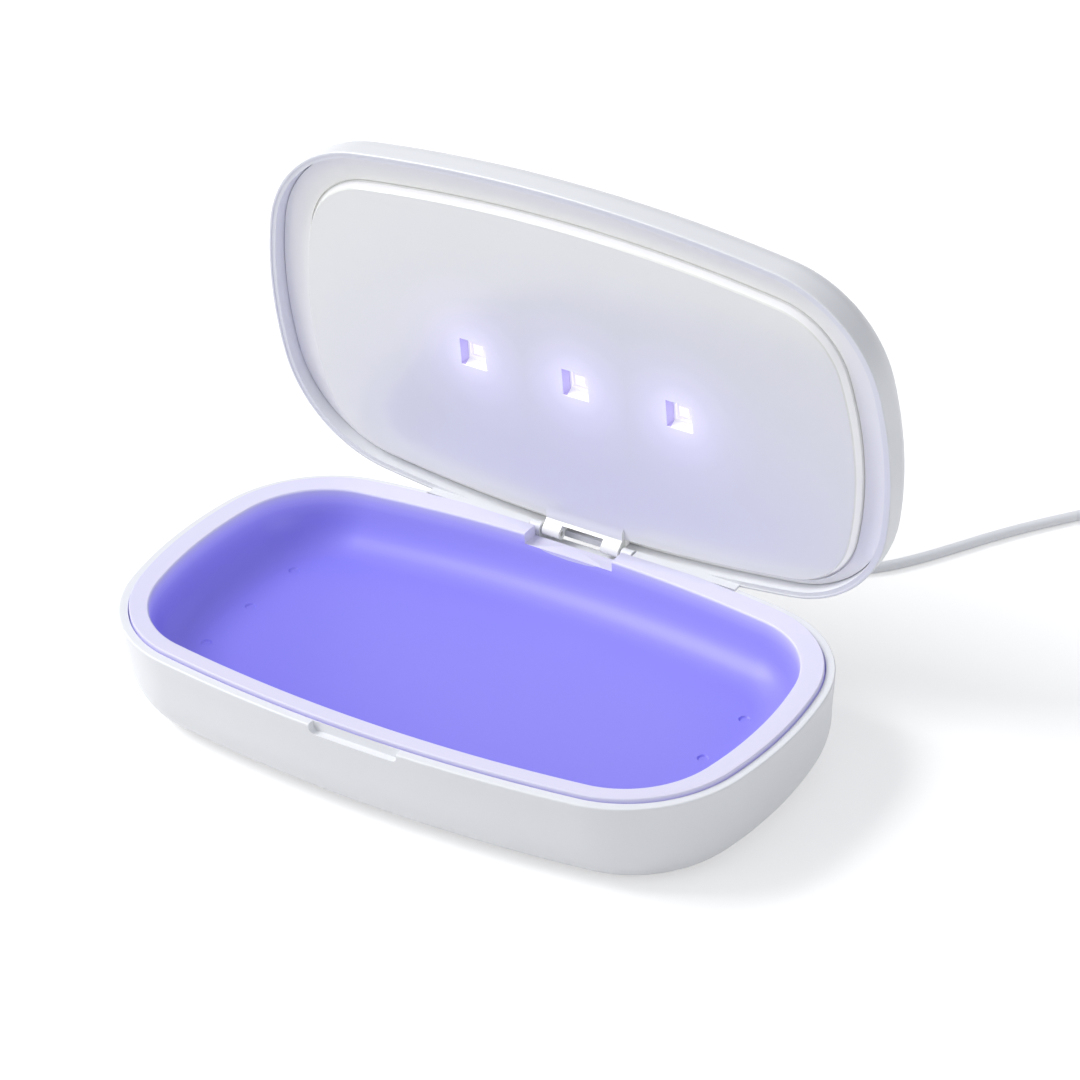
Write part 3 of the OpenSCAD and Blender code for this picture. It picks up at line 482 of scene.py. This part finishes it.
# %% [markdown]
# The lid shell is a shallow bowl too, drawn closed and swung open at the very end. A skirt hangs from its
# rear lip over the lowered part of the base, and a gap in the lip leaves room for the hinge.

# %% Lid shell
lid_half = [v - 0.1 for v in body_sizes]
lid = outline_face("lid_shell_moulding", *lid_half, SEAM_Z + 0.8)
walk([(0, 0.6), (0.3, 4.6)] + arc_steps(12.6, LID_TOP - 6, 18, 1))
walk_from(lid, SEAM_Z + 0.8, -1, [(0.07, -0.22), (0.18, -0.18), (0.6, 0), (0.02, 0.25), (1.43, 0), (0, 1.75),
                                  (0.4, 3.6)] + arc_steps(10.2, 9.1, 10, 1))
bpy.ops.object.mode_set(mode="OBJECT")
skirt = body_prism(0.35, SEAM_Z - 2.4, SEAM_Z + 1)
carve(skirt, body_prism(WALL, SEAM_Z - 3, SEAM_Z + 2))
carve(skirt, block((-57.4, HINGE_Y - 1.2, SEAM_Z - 3), (57.4, 66, SEAM_Z + 2)), "INTERSECT")
carve(lid, skirt, "UNION")
carve(lid, block((-19.4, HINGE_Y - 3, SEAM_Z - 5), (19.4, 66, SEAM_Z + 2.2)))
BUTTON_Y, BUTTON_R = -24.0, 6.0
LID_UNDER = SEAM_Z + LID_TOP - WALL
carve(lid, rod(0, BUTTON_Y, LID_UNDER - 1, BUTTON_R + 0.25, 10, sides=96))
carve(lid, rod(0, BUTTON_Y, SEAM_Z + LID_TOP - 0.8, BUTTON_R + 2.2, 4, sides=96))
for x in (-11, 11):
    carve(lid, rod(x, BUTTON_Y, LID_UNDER - 5.2, 2, 5.6, sides=32), "UNION")
finish_mesh(lid, 0.18)

# %% [markdown]
# The lid's liner closes it from below: a flat band along the lip, and inside it a raised panel with a step
# all round. Three square wells in the panel hold the lamps. At the hinge the panel runs out in a tongue
# with a window.

# %% Lid liner
panel_sizes = (PANEL_LEN / 2, PANEL_DEP / 2, BOW_LONG - PANEL_FRONT, BOW_END - PANEL_END, PANEL_R)


def panel_prism(offset, z0, z1):
    """A solid of the panel's outline, moved inward by offset, between two heights above the seam."""
    obj = outline_face("panel", *[v - offset for v in panel_sizes], SEAM_Z + z0, PANEL_Y)
    walk([(0, z1 - z0)])
    bpy.ops.object.mode_set(mode="OBJECT")
    return obj


liner = body_prism(WALL_EDGE, SEAM_Z + BAND_Z, SEAM_Z + BAND_Z + SKIN, "lid_liner_moulding")
groove = panel_prism(-1.65, BAND_Z - 1, BAND_Z + 0.7)
carve(groove, panel_prism(-1.2, BAND_Z - 2, BAND_Z + 2))
carve(liner, groove)
panel = outline_face("panel_step", *[v + 1.2 for v in panel_sizes], SEAM_Z + BAND_Z + 0.8, PANEL_Y)
walk([(0, 0.2)])
walk_from(panel, SEAM_Z + BAND_Z + 0.8, -1,
          [(0, -0.8), (1.12, -2.45), (0.1, -0.25), (0.12, -0.17), (0.18, -0.13)])
bpy.ops.object.mode_set(mode="OBJECT")
carve(liner, panel, "UNION")
carve(liner, panel_prism(SKIN, PANEL_Z + SKIN, BAND_Z + 4))

# %% [markdown]
# The tongue is a profile in the YZ plane, drawn out along X, with the round barrel that turns on the pins.
# Each well is a four-sided cone with a square hole in its foot for the lamp, and its wall is thickened from
# behind.

# %% Tongue and wells
def profile_solid(name, points, x0, x1):
    """A circle primitive drawn out to a profile in the YZ plane and extruded along X."""
    nothing_selected()
    bpy.ops.mesh.primitive_circle_add(vertices=len(points), radius=1, fill_type="NGON")
    obj = bpy.context.active_object
    obj.name = name
    for vertex, (y, z) in zip(obj.data.vertices, points):
        vertex.co = Vector((x0, y, z)) * MM
    bpy.ops.object.mode_set(mode="EDIT")
    bpy.ops.mesh.select_all(action="SELECT")
    bpy.ops.mesh.extrude_region_move(TRANSFORM_OT_translate={"value": ((x1 - x0) * MM, 0, 0)})
    bpy.ops.mesh.select_all(action="SELECT")
    bpy.ops.mesh.normals_make_consistent(inside=False)
    bpy.ops.object.mode_set(mode="OBJECT")
    return obj


TONGUE_HALF, WINDOW_HALF = 14.2, 7.7
front, face_z = PANEL_Y + PANEL_DEP / 2 - 4.7, SEAM_Z + 0.8
barrel = [(HINGE_Y + LUG_R * math.cos(math.radians(a)), HINGE_Z + LUG_R * math.sin(math.radians(a)))
          for a in range(215, 455, 15)]
profile = [(front, SEAM_Z + 2.4), (front, SEAM_Z + 1.9), (front + 2, face_z), (HINGE_Y - 3.5, face_z)]
profile += barrel
profile += [(HINGE_Y - 0.2, HINGE_Z + 1.95), (HINGE_Y - 0.2, SEAM_Z + 5.4), (front, SEAM_Z + 5.4)]
tongue = profile_solid("tongue", profile, -TONGUE_HALF, TONGUE_HALF)
carve(liner, tongue, "UNION")
window_y = PANEL_Y + PANEL_DEP / 2 + 0.1
carve(liner, block((-WINDOW_HALF, window_y, SEAM_Z - 5), (WINDOW_HALF, 66, SEAM_Z + BAND_Z)))
carve(liner, rod(-20, HINGE_Y, HINGE_Z, 0.85, 40, (0, math.pi / 2, 0), 32))
for i in (-1, 0, 1):
    x = i * WELL_PITCH
    carve(liner, block((x - 6.5, WELL_Y - 6.5, SEAM_Z + 2.9), (x + 6.5, WELL_Y + 6.5, SEAM_Z + 5.1)), "UNION")
    carve(liner, rod(x, WELL_Y, SEAM_Z + PANEL_Z - 0.01, WELL_MOUTH / math.sqrt(2), 2.41,
                     (0, 0, math.pi / 4), 4, WELL_FOOT / math.sqrt(2)))
    carve(liner, block((x - 2.8, WELL_Y - 2.8, SEAM_Z + 1), (x + 2.8, WELL_Y + 2.8, SEAM_Z + 8)))
for x in BOARD_POSTS:
    carve(liner, rod(x, WELL_Y, SEAM_Z + 2.9, 2.6, 3, sides=32), "UNION")
finish_mesh(liner, 0.12)

# %% [markdown]
# The start button has a shallow dish for the fingertip. A cylinder is inset on its top face, and the inner
# faces are pushed down a little, the way a mould insert would form it.

# %% Start button
button = rod(0, BUTTON_Y, LID_UNDER - 0.6, BUTTON_R, WALL + 0.6 + 0.9, sides=96)
button.name = "start_button_cap"
work_on(button)
bpy.ops.object.mode_set(mode="EDIT")
pick_face(button, SEAM_Z + LID_TOP + 0.9, 1)
walk([(0.12, -0.02), (0.2, -0.06), (1.0, -0.1), (1.2, -0.12), (1.4, -0.08)])
bpy.ops.object.mode_set(mode="OBJECT")
carve(button, rod(0, BUTTON_Y, LID_UNDER - 0.8, BUTTON_R + 1, 0.6, sides=96), "UNION")
carve(button, rod(0, BUTTON_Y, LID_UNDER - 1.75, 1.5, 1.2, sides=48), "UNION")
finish_mesh(button, 0.08)

# %% [markdown]
# The plug that seats in the rear pocket is a soft overmould with a ribbed strain relief that tapers to the
# cable. The plug at the far end is the flat kind that fits a charger.

# %% Plugs
def soft_box(name, low, high, radius):
    """A box with all its edges rounded by a bevel."""
    obj = block(low, high)
    obj.name = obj.data.name = name
    work_on(obj)
    bpy.ops.object.mode_set(mode="EDIT")
    bpy.ops.mesh.select_all(action="SELECT")
    bpy.ops.mesh.bevel(offset=radius * MM, segments=5, affect="EDGES")
    bpy.ops.object.mode_set(mode="OBJECT")
    return obj


def ribbed_relief(x, y, z, length, wide, narrow, turn):
    """A tapered strain relief with slits between its ribs."""
    cone = rod(x, y, z, wide, length, turn, 32, narrow)
    count = 4
    for k in range(count):
        along = length * (0.18 + 0.19 * k)
        radius = wide + (narrow - wide) * along / length
        way = Matrix.Rotation(turn[0], 3, "X") @ Matrix.Rotation(turn[1], 3, "Y") @ Vector((0, 0, 1))
        at = Vector((x, y, z)) + way * along
        ring = rod(at.x, at.y, at.z, radius + 1, length * 0.07, turn, 32)
        carve(ring, rod(at.x, at.y, at.z, radius - 0.45, length * 0.07, turn, 32))
        carve(cone, ring)
    return cone


plug = rounded_bar((SOCKET_X - 6, POCKET_Y, SOCKET_Z - 3.3), (SOCKET_X + 6, POCKET_Y + 12, SOCKET_Z + 3.3),
                   3.2, 1)
plug.name = "rear_plug_body"
carve(plug, ribbed_relief(SOCKET_X, POCKET_Y + 11.9, SOCKET_Z, 79 - POCKET_Y - 11.9, 2.9, 2.15,
                          (-math.pi / 2, 0, 0)), "UNION")
finish_mesh(plug, 0.3)

CHARGER_TURN = math.radians(-57)
charger = soft_box("charger_plug_body", (5.9, -7.8, -4), (25.9, 7.8, 4), 1.2)
carve(charger, ribbed_relief(0, 0, 0, 6.2, 2.15, 3, (0, math.pi / 2, 0)), "UNION")
finish_mesh(charger, 0.2)
charger_place = (Matrix.Translation(Vector((COIL.x + 17.2, COIL.y + 11.2, 11)) * MM)
                 @ Matrix.Rotation(CHARGER_TURN, 4, "Z"))
charger.matrix_world = charger_place
work_on(charger)
bpy.ops.object.transform_apply(location=True, rotation=True, scale=True)

# %% [markdown]
# The lid, its liner and the button were drawn closed. One turn about the hinge pins opens them, and the
# turn is applied to the meshes, so that every finished piece keeps its object at the origin.

# %% Swing the lid open
pivot = Vector((0, HINGE_Y, HINGE_Z)) * MM
swing = (Matrix.Translation(pivot) @ Matrix.Rotation(math.radians(-LID_OPEN), 4, "X")
         @ Matrix.Translation(-pivot))
for piece in (lid, liner, button):
    piece.matrix_world = swing
    work_on(piece)
    bpy.ops.object.transform_apply(location=True, rotation=True, scale=True)
print("lid opened by", LID_OPEN, "degrees")

# %% [markdown]
# Now all pieces move forward together, by the distance that was worked out at the start.

# %% Move everything to the frame's origin
for piece in (base, tray, lid, liner, button, plug, charger):
    piece.matrix_world = Matrix.Translation((0, -BACK_SHIFT * MM, 0))
    work_on(piece)
    bpy.ops.object.transform_apply(location=True, rotation=True, scale=True)
print("pieces moved by", round(-BACK_SHIFT, 3), "mm along y")

# %% [markdown]
# Each piece takes the place of its CAD node, which is hidden, and rides the body that the node is on. The
# cable's three CAD nodes are hidden as well, and the new cable rides the base, as do the two plugs that it
# carries.

# %% Put the pieces in the frame
placing = (
    (base, "base_shell", "base", "shell"), (tray, "tray", "base", "tray"), (lid, "lid_shell", "lid", "shell"),
    (liner, "lid_liner", "lid", "liner"), (button, "start_button", "button", "button"),
    (plug, "plug_body", "base", "cable"), (charger, "charger_body", "base", "cable"))
for piece, node, body, slot in placing:
    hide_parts(node)
    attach(piece, body)
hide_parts("cable", "cable_coil", "cable_tail")
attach(cable, "base")
(79 - BACK_SHIFT) * MM

# %% [markdown]
# A small class wraps a shader socket, so that a material reads like a sum. Each operator adds one Math
# node.

# %% Shader helpers
class Wire:
    """A value that flows through a material, with the usual operators."""

    def __init__(self, tree, socket):
        self.tree, self.socket = tree, socket

    def math(self, operation, *others):
        return add_node(self.tree, "ShaderNodeMath", {"operation": operation}, [self, *others])

    def __add__(self, other):
        return self.math("ADD", other)

    def __mul__(self, other):
        return self.math("MULTIPLY", other)

    def __sub__(self, other):
        return self.math("SUBTRACT", other)

    def __rsub__(self, other):
        return add_node(self.tree, "ShaderNodeMath", {"operation": "SUBTRACT"}, [other, self])


def add_node(tree, kind, settings=None, inputs=None, output=0):
    """Adds one node: its settings first, then its inputs by place or name. Returns an output as a Wire."""
    node = tree.nodes.new(kind)
    for key, value in (settings or {}).items():
        if key == "stops":
            ramp = node.color_ramp
            while len(ramp.elements) < len(value):
                ramp.elements.new(0.5)
            for element, (place, colour) in zip(ramp.elements, value):
                element.position, element.color = place, (*colour, 1)
        else:
            setattr(node, key, value)
    pairs = inputs.items() if isinstance(inputs, dict) else enumerate(inputs or [])
    for key, value in pairs:
        socket = node.inputs[key]
        if isinstance(value, Wire):
            tree.links.new(value.socket, socket)
        else:
            socket.default_value = value
    return Wire(tree, node.outputs[output])


def new_material(name, **constants):
    """A material with one Principled shader. Returns the material, its tree and the shader."""
    material = bpy.data.materials.new(name)
    material.use_nodes = True
    tree = material.node_tree
    shader = tree.nodes["Principled BSDF"]
    for key, value in constants.items():
        shader.inputs[key.replace("_", " ")].default_value = value
    return material, tree, shader


def feed(tree, wire, shader, socket):
    """Links a wire to one of the shader's sockets."""
    tree.links.new(wire.socket, shader.inputs[socket])


def place_of(tree):
    """Object coordinates, which stay on a piece when it moves."""
    return add_node(tree, "ShaderNodeTexCoord", output=3)


def noise(tree, place, scale, detail=3.0, roughness=0.5):
    """Plain noise from 0 to 1."""
    return add_node(tree, "ShaderNodeTexNoise", {}, {"Vector": place, "Scale": scale, "Detail": detail,
                                                     "Roughness": roughness})


def tint(tree, share, dark, light):
    """A colour between two, by a share from 0 to 1."""
    mix = add_node(tree, "ShaderNodeMix", {"data_type": "RGBA"}, None, 2)
    node = mix.socket.node
    tree.links.new(share.socket, node.inputs[0])
    node.inputs[6].default_value, node.inputs[7].default_value = (*dark, 1), (*light, 1)
    return mix


def blend(tree, share, under, colour, how="MIX"):
    """A wire's colour with a plain colour laid over it, or added to it, by a share from 0 to 1."""
    return add_node(tree, "ShaderNodeMix", {"data_type": "RGBA", "blend_type": how},
                    {0: share, 6: under, 7: (*colour, 1)}, 2)


def bump(tree, height, strength, distance):
    """Turns a height into a normal."""
    return add_node(tree, "ShaderNodeBump", {}, {"Height": height, "Strength": strength, "Distance": distance})


print("shader helpers ready")

# %% [markdown]
# Moulded plastic is never perfectly even. It has a very fine grain, a slight waviness and small changes in
# gloss where it was handled, and one function makes the shell, the button and the cable.

# %% Plastics
def moulded_plastic(name, dark, light, gloss, grain_scale, grain, coat=0.0):
    """Plastic with a fine grain, faint mottling and uneven gloss."""
    material, tree, shader = new_material(name, Coat_Roughness=0.08)
    place = place_of(tree)
    mottle = noise(tree, place, 35.0, 4.0)
    handling = noise(tree, place, 90.0, 5.0, 0.6)
    feed(tree, tint(tree, mottle, dark, light), shader, "Base Color")
    feed(tree, handling * 0.10 + (gloss - 0.05), shader, "Roughness")
    fine = noise(tree, place, grain_scale, 2.0)
    feed(tree, bump(tree, fine, grain, 0.0002), shader, "Normal")
    shader.inputs["Coat Weight"].default_value = coat
    return material


shell_white = moulded_plastic("shell_white_plastic", (0.80, 0.81, 0.84), (0.83, 0.84, 0.87), 0.34, 2600, 0.05)
button_white = moulded_plastic("button_matt_plastic", (0.76, 0.77, 0.80), (0.80, 0.81, 0.84), 0.42, 3200, 0.1)
cable_grey = moulded_plastic("cable_soft_plastic", (0.80, 0.81, 0.84), (0.85, 0.86, 0.89), 0.5, 2200, 0.12)
print("plastics:", shell_white.name, button_white.name, cable_grey.name)

# %% [markdown]
# The liner is glossy white. The soft violet halo that each lamp throws on it is painted light, an emission that
# is strongest inside its square well, and the well's left wall gets painted shade, a darker violet colour. The
# halo follows the distance from the nearest well, measured in the lid's own plane: a Mapping node turns the
# place back to the closed lid, where the wells lie on one straight line. The step round the panel, the band
# behind it and the walls of the wells get a lighter colour, and the step a little emission, which is painted
# highlight.

# %% Liner gloss, painted lamp halo, painted shade and highlight
def liner_plastic():
    """Glossy white plastic with a painted halo of lamp light round each lamp, painted shade in each well and a
    painted highlight on the step round the panel.
    """
    material, tree, shader = new_material("liner_gloss_plastic", Coat_Weight=0.35, Coat_Roughness=0.04)
    place = place_of(tree)
    hinge = Vector((0, HINGE_Y - BACK_SHIFT, HINGE_Z)) * MM
    away = hinge - Matrix.Rotation(turned, 3, "X") @ hinge
    closed = add_node(tree, "ShaderNodeMapping", {}, {"Vector": place, "Location": away,
                                                      "Rotation": (turned, 0, 0)})
    split = add_node(tree, "ShaderNodeSeparateXYZ", {}, [closed])
    x, y, z = [Wire(tree, split.socket.node.outputs[k]) for k in range(3)]
    aside = x.math("WRAP", WELL_PITCH / 2 * MM, -WELL_PITCH / 2 * MM)
    beside = aside.math("MAXIMUM", x.math("ABSOLUTE") - WELL_PITCH * MM)
    across = y - (WELL_Y - BACK_SHIFT) * MM
    gap = (beside * beside + across * across).math("SQRT")
    share = gap * (1 / (30 * MM))
    # Painted light: the violet halo of each lamp is an emission colour set by the distance from the nearest
    # well.
    painted_glow = add_node(tree, "ShaderNodeValToRGB", {"stops": [
        (0.0, (0.20, 0.19, 0.24)), (0.15, (0.20, 0.19, 0.24)), (0.22, (0.16, 0.14, 0.24)),
        (0.38, (0.075, 0.06, 0.14)), (0.65, (0.02, 0.015, 0.045)), (1.0, (0.0, 0.0, 0.0))]}, [share])
    mottle = noise(tree, place, 30.0, 4.0)
    plain = tint(tree, mottle, (0.875, 0.885, 0.835), (0.905, 0.915, 0.865))
    inner = add_node(tree, "ShaderNodeMapRange", {}, {"Value": z, "From Min": (SEAM_Z + PANEL_Z + 0.25) * MM,
                                                      "From Max": (SEAM_Z + PANEL_Z + 0.7) * MM})
    # Painted highlight: the step, the band and the walls of the wells take a lighter colour than the panel's
    # face.
    mix = blend(tree, inner, plain, (0.95, 0.95, 0.93))
    near = gap.math("LESS_THAN", 8 * MM) * z.math("GREATER_THAN", (SEAM_Z + PANEL_Z + 0.12) * MM)
    # Painted shade: the left wall of each well gets a darker violet base colour.
    shade = near * aside.math("LESS_THAN", -3.35 * MM)
    mix = blend(tree, shade, mix, (0.44, 0.38, 0.78))
    # Painted highlight: the step round the panel gets a little white emission, added to the painted halo.
    wall = inner * z.math("LESS_THAN", (SEAM_Z + BAND_Z - 0.5) * MM) * (1 - near)
    lit = blend(tree, wall, painted_glow, (0.14, 0.14, 0.14), "ADD")
    feed(tree, mix, shader, "Base Color")
    feed(tree, lit, shader, "Emission Color")
    shader.inputs["Emission Strength"].default_value = 1.0
    feed(tree, noise(tree, place, 60.0, 5.0, 0.6) * 0.05 + 0.11, shader, "Roughness")
    feed(tree, bump(tree, noise(tree, place, 1500.0, 2.0), 0.02, 0.0002), shader, "Normal")
    return material


liner_white = liner_plastic()
print("liner nodes:", len(liner_white.node_tree.nodes))

# %% [markdown]
# The tray is white plastic under violet light, and that light is painted into its colour. The rim stays a pale
# lavender, and so does the notch behind the tub. Below the rim's edge the painted light deepens to violet, with
# painted shade towards the left end. Height in the mesh drives the colour and a little emission, which is
# painted glow.

# %% Tray painted violet light and glow
def tray_plastic():
    """White plastic painted violet below the rim by the lamps' light, with painted shade deeper towards the
    left end.
    """
    material, tree, shader = new_material("tray_white_plastic_painted_violet", Roughness=0.42, Coat_Weight=0.08,
                                          Coat_Roughness=0.2)
    place = place_of(tree)
    split = add_node(tree, "ShaderNodeSeparateXYZ", {}, [place])
    x = Wire(tree, split.socket.node.outputs[0])
    height = Wire(tree, split.socket.node.outputs[2])
    depth = add_node(tree, "ShaderNodeMapRange", {}, {"Value": height, "From Min": FLOOR_Z * MM,
                                                      "From Max": RIM_Z * MM})
    mottle = noise(tree, place, 12.0, 3.0)
    y = Wire(tree, split.socket.node.outputs[1])
    behind = y.math("GREATER_THAN", (TUB_Y + TUB_DEP / 2 - 0.15 - BACK_SHIFT) * MM)
    share = depth.math("MAXIMUM", behind) + (mottle - 0.5) * 0.06
    # Painted light: the violet below is the lamps' light, not the plastic's colour, and painted shade makes it
    # a little darker towards the left end.
    along = add_node(tree, "ShaderNodeMapRange", {}, {"Value": x + y + (mottle - 0.5) * 0.05, "From Min": -0.10,
                                                      "From Max": 0.06})
    violet = tint(tree, along, (0.215, 0.195, 0.74), (0.24, 0.22, 0.74))
    # Painted light: the ramp runs from the painted violet of the tub up to the pale lavender of the rim.
    painted_light_ramp = add_node(tree, "ShaderNodeValToRGB", {"stops": [
        (0.0, (0.0, 0.0, 0.0)), (0.38, (0.0, 0.0, 0.0)), (0.66, (0.12, 0.12, 0.12)),
        (0.82, (0.38, 0.38, 0.38)), (0.94, (0.72, 0.72, 0.72)), (1.0, (0.96, 0.96, 0.96))]}, [share])
    mix = blend(tree, painted_light_ramp, violet, (0.76, 0.745, 0.88))
    # Painted glow: an emission that stands in for the violet light on the tray, which is no lamp.
    painted_glow = add_node(tree, "ShaderNodeValToRGB", {"stops": [
        (0.0, (0.02, 0.015, 0.10)), (0.5, (0.03, 0.025, 0.12)), (0.80, (0.09, 0.08, 0.20)),
        (0.92, (0.06, 0.055, 0.13)), (1.0, (0.0, 0.0, 0.02))]}, [share])
    feed(tree, mix, shader, "Base Color")
    feed(tree, painted_glow, shader, "Emission Color")
    shader.inputs["Emission Strength"].default_value = 1.0
    fine = noise(tree, place, 900.0, 2.0)
    feed(tree, bump(tree, fine, 0.02, 0.0002), shader, "Normal")
    return material


tray_painted_violet_light = tray_plastic()
print("tray nodes:", len(tray_painted_violet_light.node_tree.nodes))

# %% [markdown]
# The small parts need less. Each has one fine pattern that suits it: a grain for rubber, drawn lines for
# steel, a grid of tracks for the boards, and faint spots for quartz, ceramic and frosted plastic.

# %% Small finishes
def rubber_finish():
    """Matt rubber with a coarse grain."""
    material, tree, shader = new_material("foot_rubber", Roughness=0.8)
    place = place_of(tree)
    feed(tree, tint(tree, noise(tree, place, 400.0, 4.0), (0.10, 0.10, 0.105), (0.16, 0.16, 0.165)), shader,
         "Base Color")
    feed(tree, bump(tree, noise(tree, place, 3000.0, 3.0), 0.3, 0.0002), shader, "Normal")
    return material


def steel_finish():
    """Plated steel with lines from drawing."""
    material, tree, shader = new_material("plated_steel", Metallic=1.0)
    place = place_of(tree)
    drawn = add_node(tree, "ShaderNodeMapping", {}, {"Vector": place, "Scale": (1, 40, 1)})
    lines = noise(tree, drawn, 300.0, 3.0)
    feed(tree, tint(tree, lines, (0.50, 0.51, 0.53), (0.66, 0.67, 0.69)), shader, "Base Color")
    feed(tree, lines * 0.15 + 0.22, shader, "Roughness")
    return material


def board_finish(name, dark, light):
    """Solder mask over a grid of tracks."""
    material, tree, shader = new_material(name, Coat_Weight=0.5, Coat_Roughness=0.2, Roughness=0.45)
    place = place_of(tree)
    cells = add_node(tree, "ShaderNodeTexBrick", {}, {"Vector": place, "Scale": 260.0, "Color1": (*dark, 1),
                                                      "Color2": (*light, 1), "Mortar": (*light, 1),
                                                      "Mortar Size": 0.012})
    feed(tree, cells, shader, "Base Color")
    return material


def chip_finish():
    """Black moulding compound."""
    material, tree, shader = new_material("chip_black", Roughness=0.55)
    place = place_of(tree)
    feed(tree, tint(tree, noise(tree, place, 1500.0, 3.0), (0.02, 0.02, 0.022), (0.045, 0.045, 0.05)), shader,
         "Base Color")
    feed(tree, bump(tree, noise(tree, place, 5000.0, 2.0), 0.2, 0.0001), shader, "Normal")
    return material


def lamp_window_finish():
    """Clear quartz over a lit violet lamp."""
    material, tree, shader = new_material("lamp_quartz", Roughness=0.05, Alpha=0.85, Emission_Strength=1.0)
    place = place_of(tree)
    spots = noise(tree, place, 900.0, 2.0)
    feed(tree, tint(tree, spots, (0.60, 0.58, 0.85), (0.75, 0.72, 0.98)), shader, "Base Color")
    feed(tree, tint(tree, spots, (0.62, 0.58, 0.85), (0.85, 0.80, 1.0)), shader, "Emission Color")
    return material


def ceramic_finish():
    """White ceramic that the lamp inside it lights up."""
    material, tree, shader = new_material("lamp_ceramic", Roughness=0.4, Emission_Color=(0.30, 0.28, 0.36, 1),
                                          Emission_Strength=1.0)
    place = place_of(tree)
    feed(tree, tint(tree, noise(tree, place, 1200.0, 3.0), (0.80, 0.78, 0.80), (0.88, 0.86, 0.88)), shader,
         "Base Color")
    return material


def frosted_finish():
    """Frosted clear plastic, for the ring of light round the button."""
    material, tree, shader = new_material("frosted_ring", Roughness=0.35, Coat_Weight=0.3)
    place = place_of(tree)
    feed(tree, tint(tree, noise(tree, place, 700.0, 3.0), (0.55, 0.60, 0.74), (0.66, 0.70, 0.82)), shader,
         "Base Color")
    return material


print("small finishes ready")

# %% [markdown]
# The new pieces and the CAD nodes that stay are all dressed by one function, which only changes materials.

# %% Give every piece its finish
def dress(obj, material):
    """Puts one material on a piece or a CAD node."""
    obj.data.materials.clear()
    obj.data.materials.append(material)


rubber, steel, chip = rubber_finish(), steel_finish(), chip_finish()
green_board = board_finish("green_board", (0.02, 0.12, 0.06), (0.03, 0.16, 0.08))
white_board = board_finish("white_board", (0.60, 0.60, 0.58), (0.68, 0.68, 0.66))
for piece, material in ((base, shell_white), (lid, shell_white), (tray, tray_painted_violet_light), (liner, liner_white),
                        (button, button_white), (plug, cable_grey), (charger, cable_grey), (cable, cable_grey)):
    dress(piece, material)
finishes = {"feet": rubber, "base_screws": steel, "main_board": green_board, "board_parts": chip,
            "board_screws": steel, "usb_socket": steel, "hinge_pins": steel, "lamp_board": white_board,
            "lamp_bodies": ceramic_finish(), "lamp_windows": lamp_window_finish(), "lamp_screws": steel,
            "lamp_socket": white_board, "switch_board": green_board, "switch_screws": steel,
            "tact_switch": chip, "light_ring": frosted_finish(), "plug_tongue": steel, "cable_tie": rubber,
            "charger_shell": steel}
for name, material in finishes.items():
    dress(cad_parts[name], material)
print("finishes given:", len(finishes) + 8)

# %% [markdown]
# The floor is white and runs out of sight. For camera, mirror and glass rays it gets a little white of its
# own on top of what the lamps give it, so that it is pure white where it is lit and keeps a pale shadow
# elsewhere.

# %% Floor
nothing_selected()
FLOOR_SIDE = 12
bpy.ops.mesh.primitive_plane_add(size=FLOOR_SIDE, location=(0, 0, 0))
floor = bpy.context.active_object
floor.name = "floor"
floor_paint, tree, shader = new_material("floor_white", Roughness=0.9)
shader.inputs["Base Color"].default_value = (0.7, 0.7, 0.7, 1)
shader.inputs["Specular IOR Level"].default_value = 0.1
rays = add_node(tree, "ShaderNodeLightPath")
outputs = rays.socket.node.outputs
seen = Wire(tree, outputs["Is Camera Ray"]) + Wire(tree, outputs["Is Glossy Ray"])
seen = seen + Wire(tree, outputs["Is Transmission Ray"])
feed(tree, tint(tree, seen.math("MINIMUM", 1.0), (0, 0, 0), (0.46, 0.46, 0.46)), shader, "Emission Color")
shader.inputs["Emission Strength"].default_value = 1.0
dress(floor, floor_paint)
print("floor side:", FLOOR_SIDE, "m")

# %% [markdown]
# Three big soft lamps stand far away, so that their light hardly changes across the table. The key lamp
# comes from the upper left, one weak fill from the front left lights the open lid, and one from the right
# lifts the end of the box. Between the two fills the front grows darker towards its right corner. The sky
# colour fills the rest.

# %% Lights and world
def soft_lamp(name, place, toward, size, power, colour=(1, 1, 1)):
    """A square area lamp that looks at a point."""
    data = bpy.data.lights.new(name, "AREA")
    data.shape, data.size, data.energy, data.color = "SQUARE", size, power, colour
    lamp = bpy.data.objects.new(name, data)
    lamp.location = place
    lamp.rotation_euler = (Vector(toward) - Vector(place)).to_track_quat("-Z", "Y").to_euler()
    bpy.context.scene.collection.objects.link(lamp)


soft_lamp("key", (-3.3, -1.1, 3.7), (0, 0, 0.03), 2.6, 205)
soft_lamp("front fill", (-2.6, -3.6, 1.9), (0, 0, 0.03), 3.0, 36, (1.0, 0.99, 0.95))
soft_lamp("side fill", (4.4, -0.9, 1.8), (0, 0, 0.03), 2.6, 38)
world = bpy.data.worlds.new("studio")
bpy.context.scene.world = world
world.use_nodes = True
tree = world.node_tree
tree.nodes["Background"].inputs["Color"].default_value = (0.80, 0.82, 0.87, 1)
tree.nodes["Background"].inputs["Strength"].default_value = 0.48
bpy.context.scene.view_settings.view_transform = "Standard"
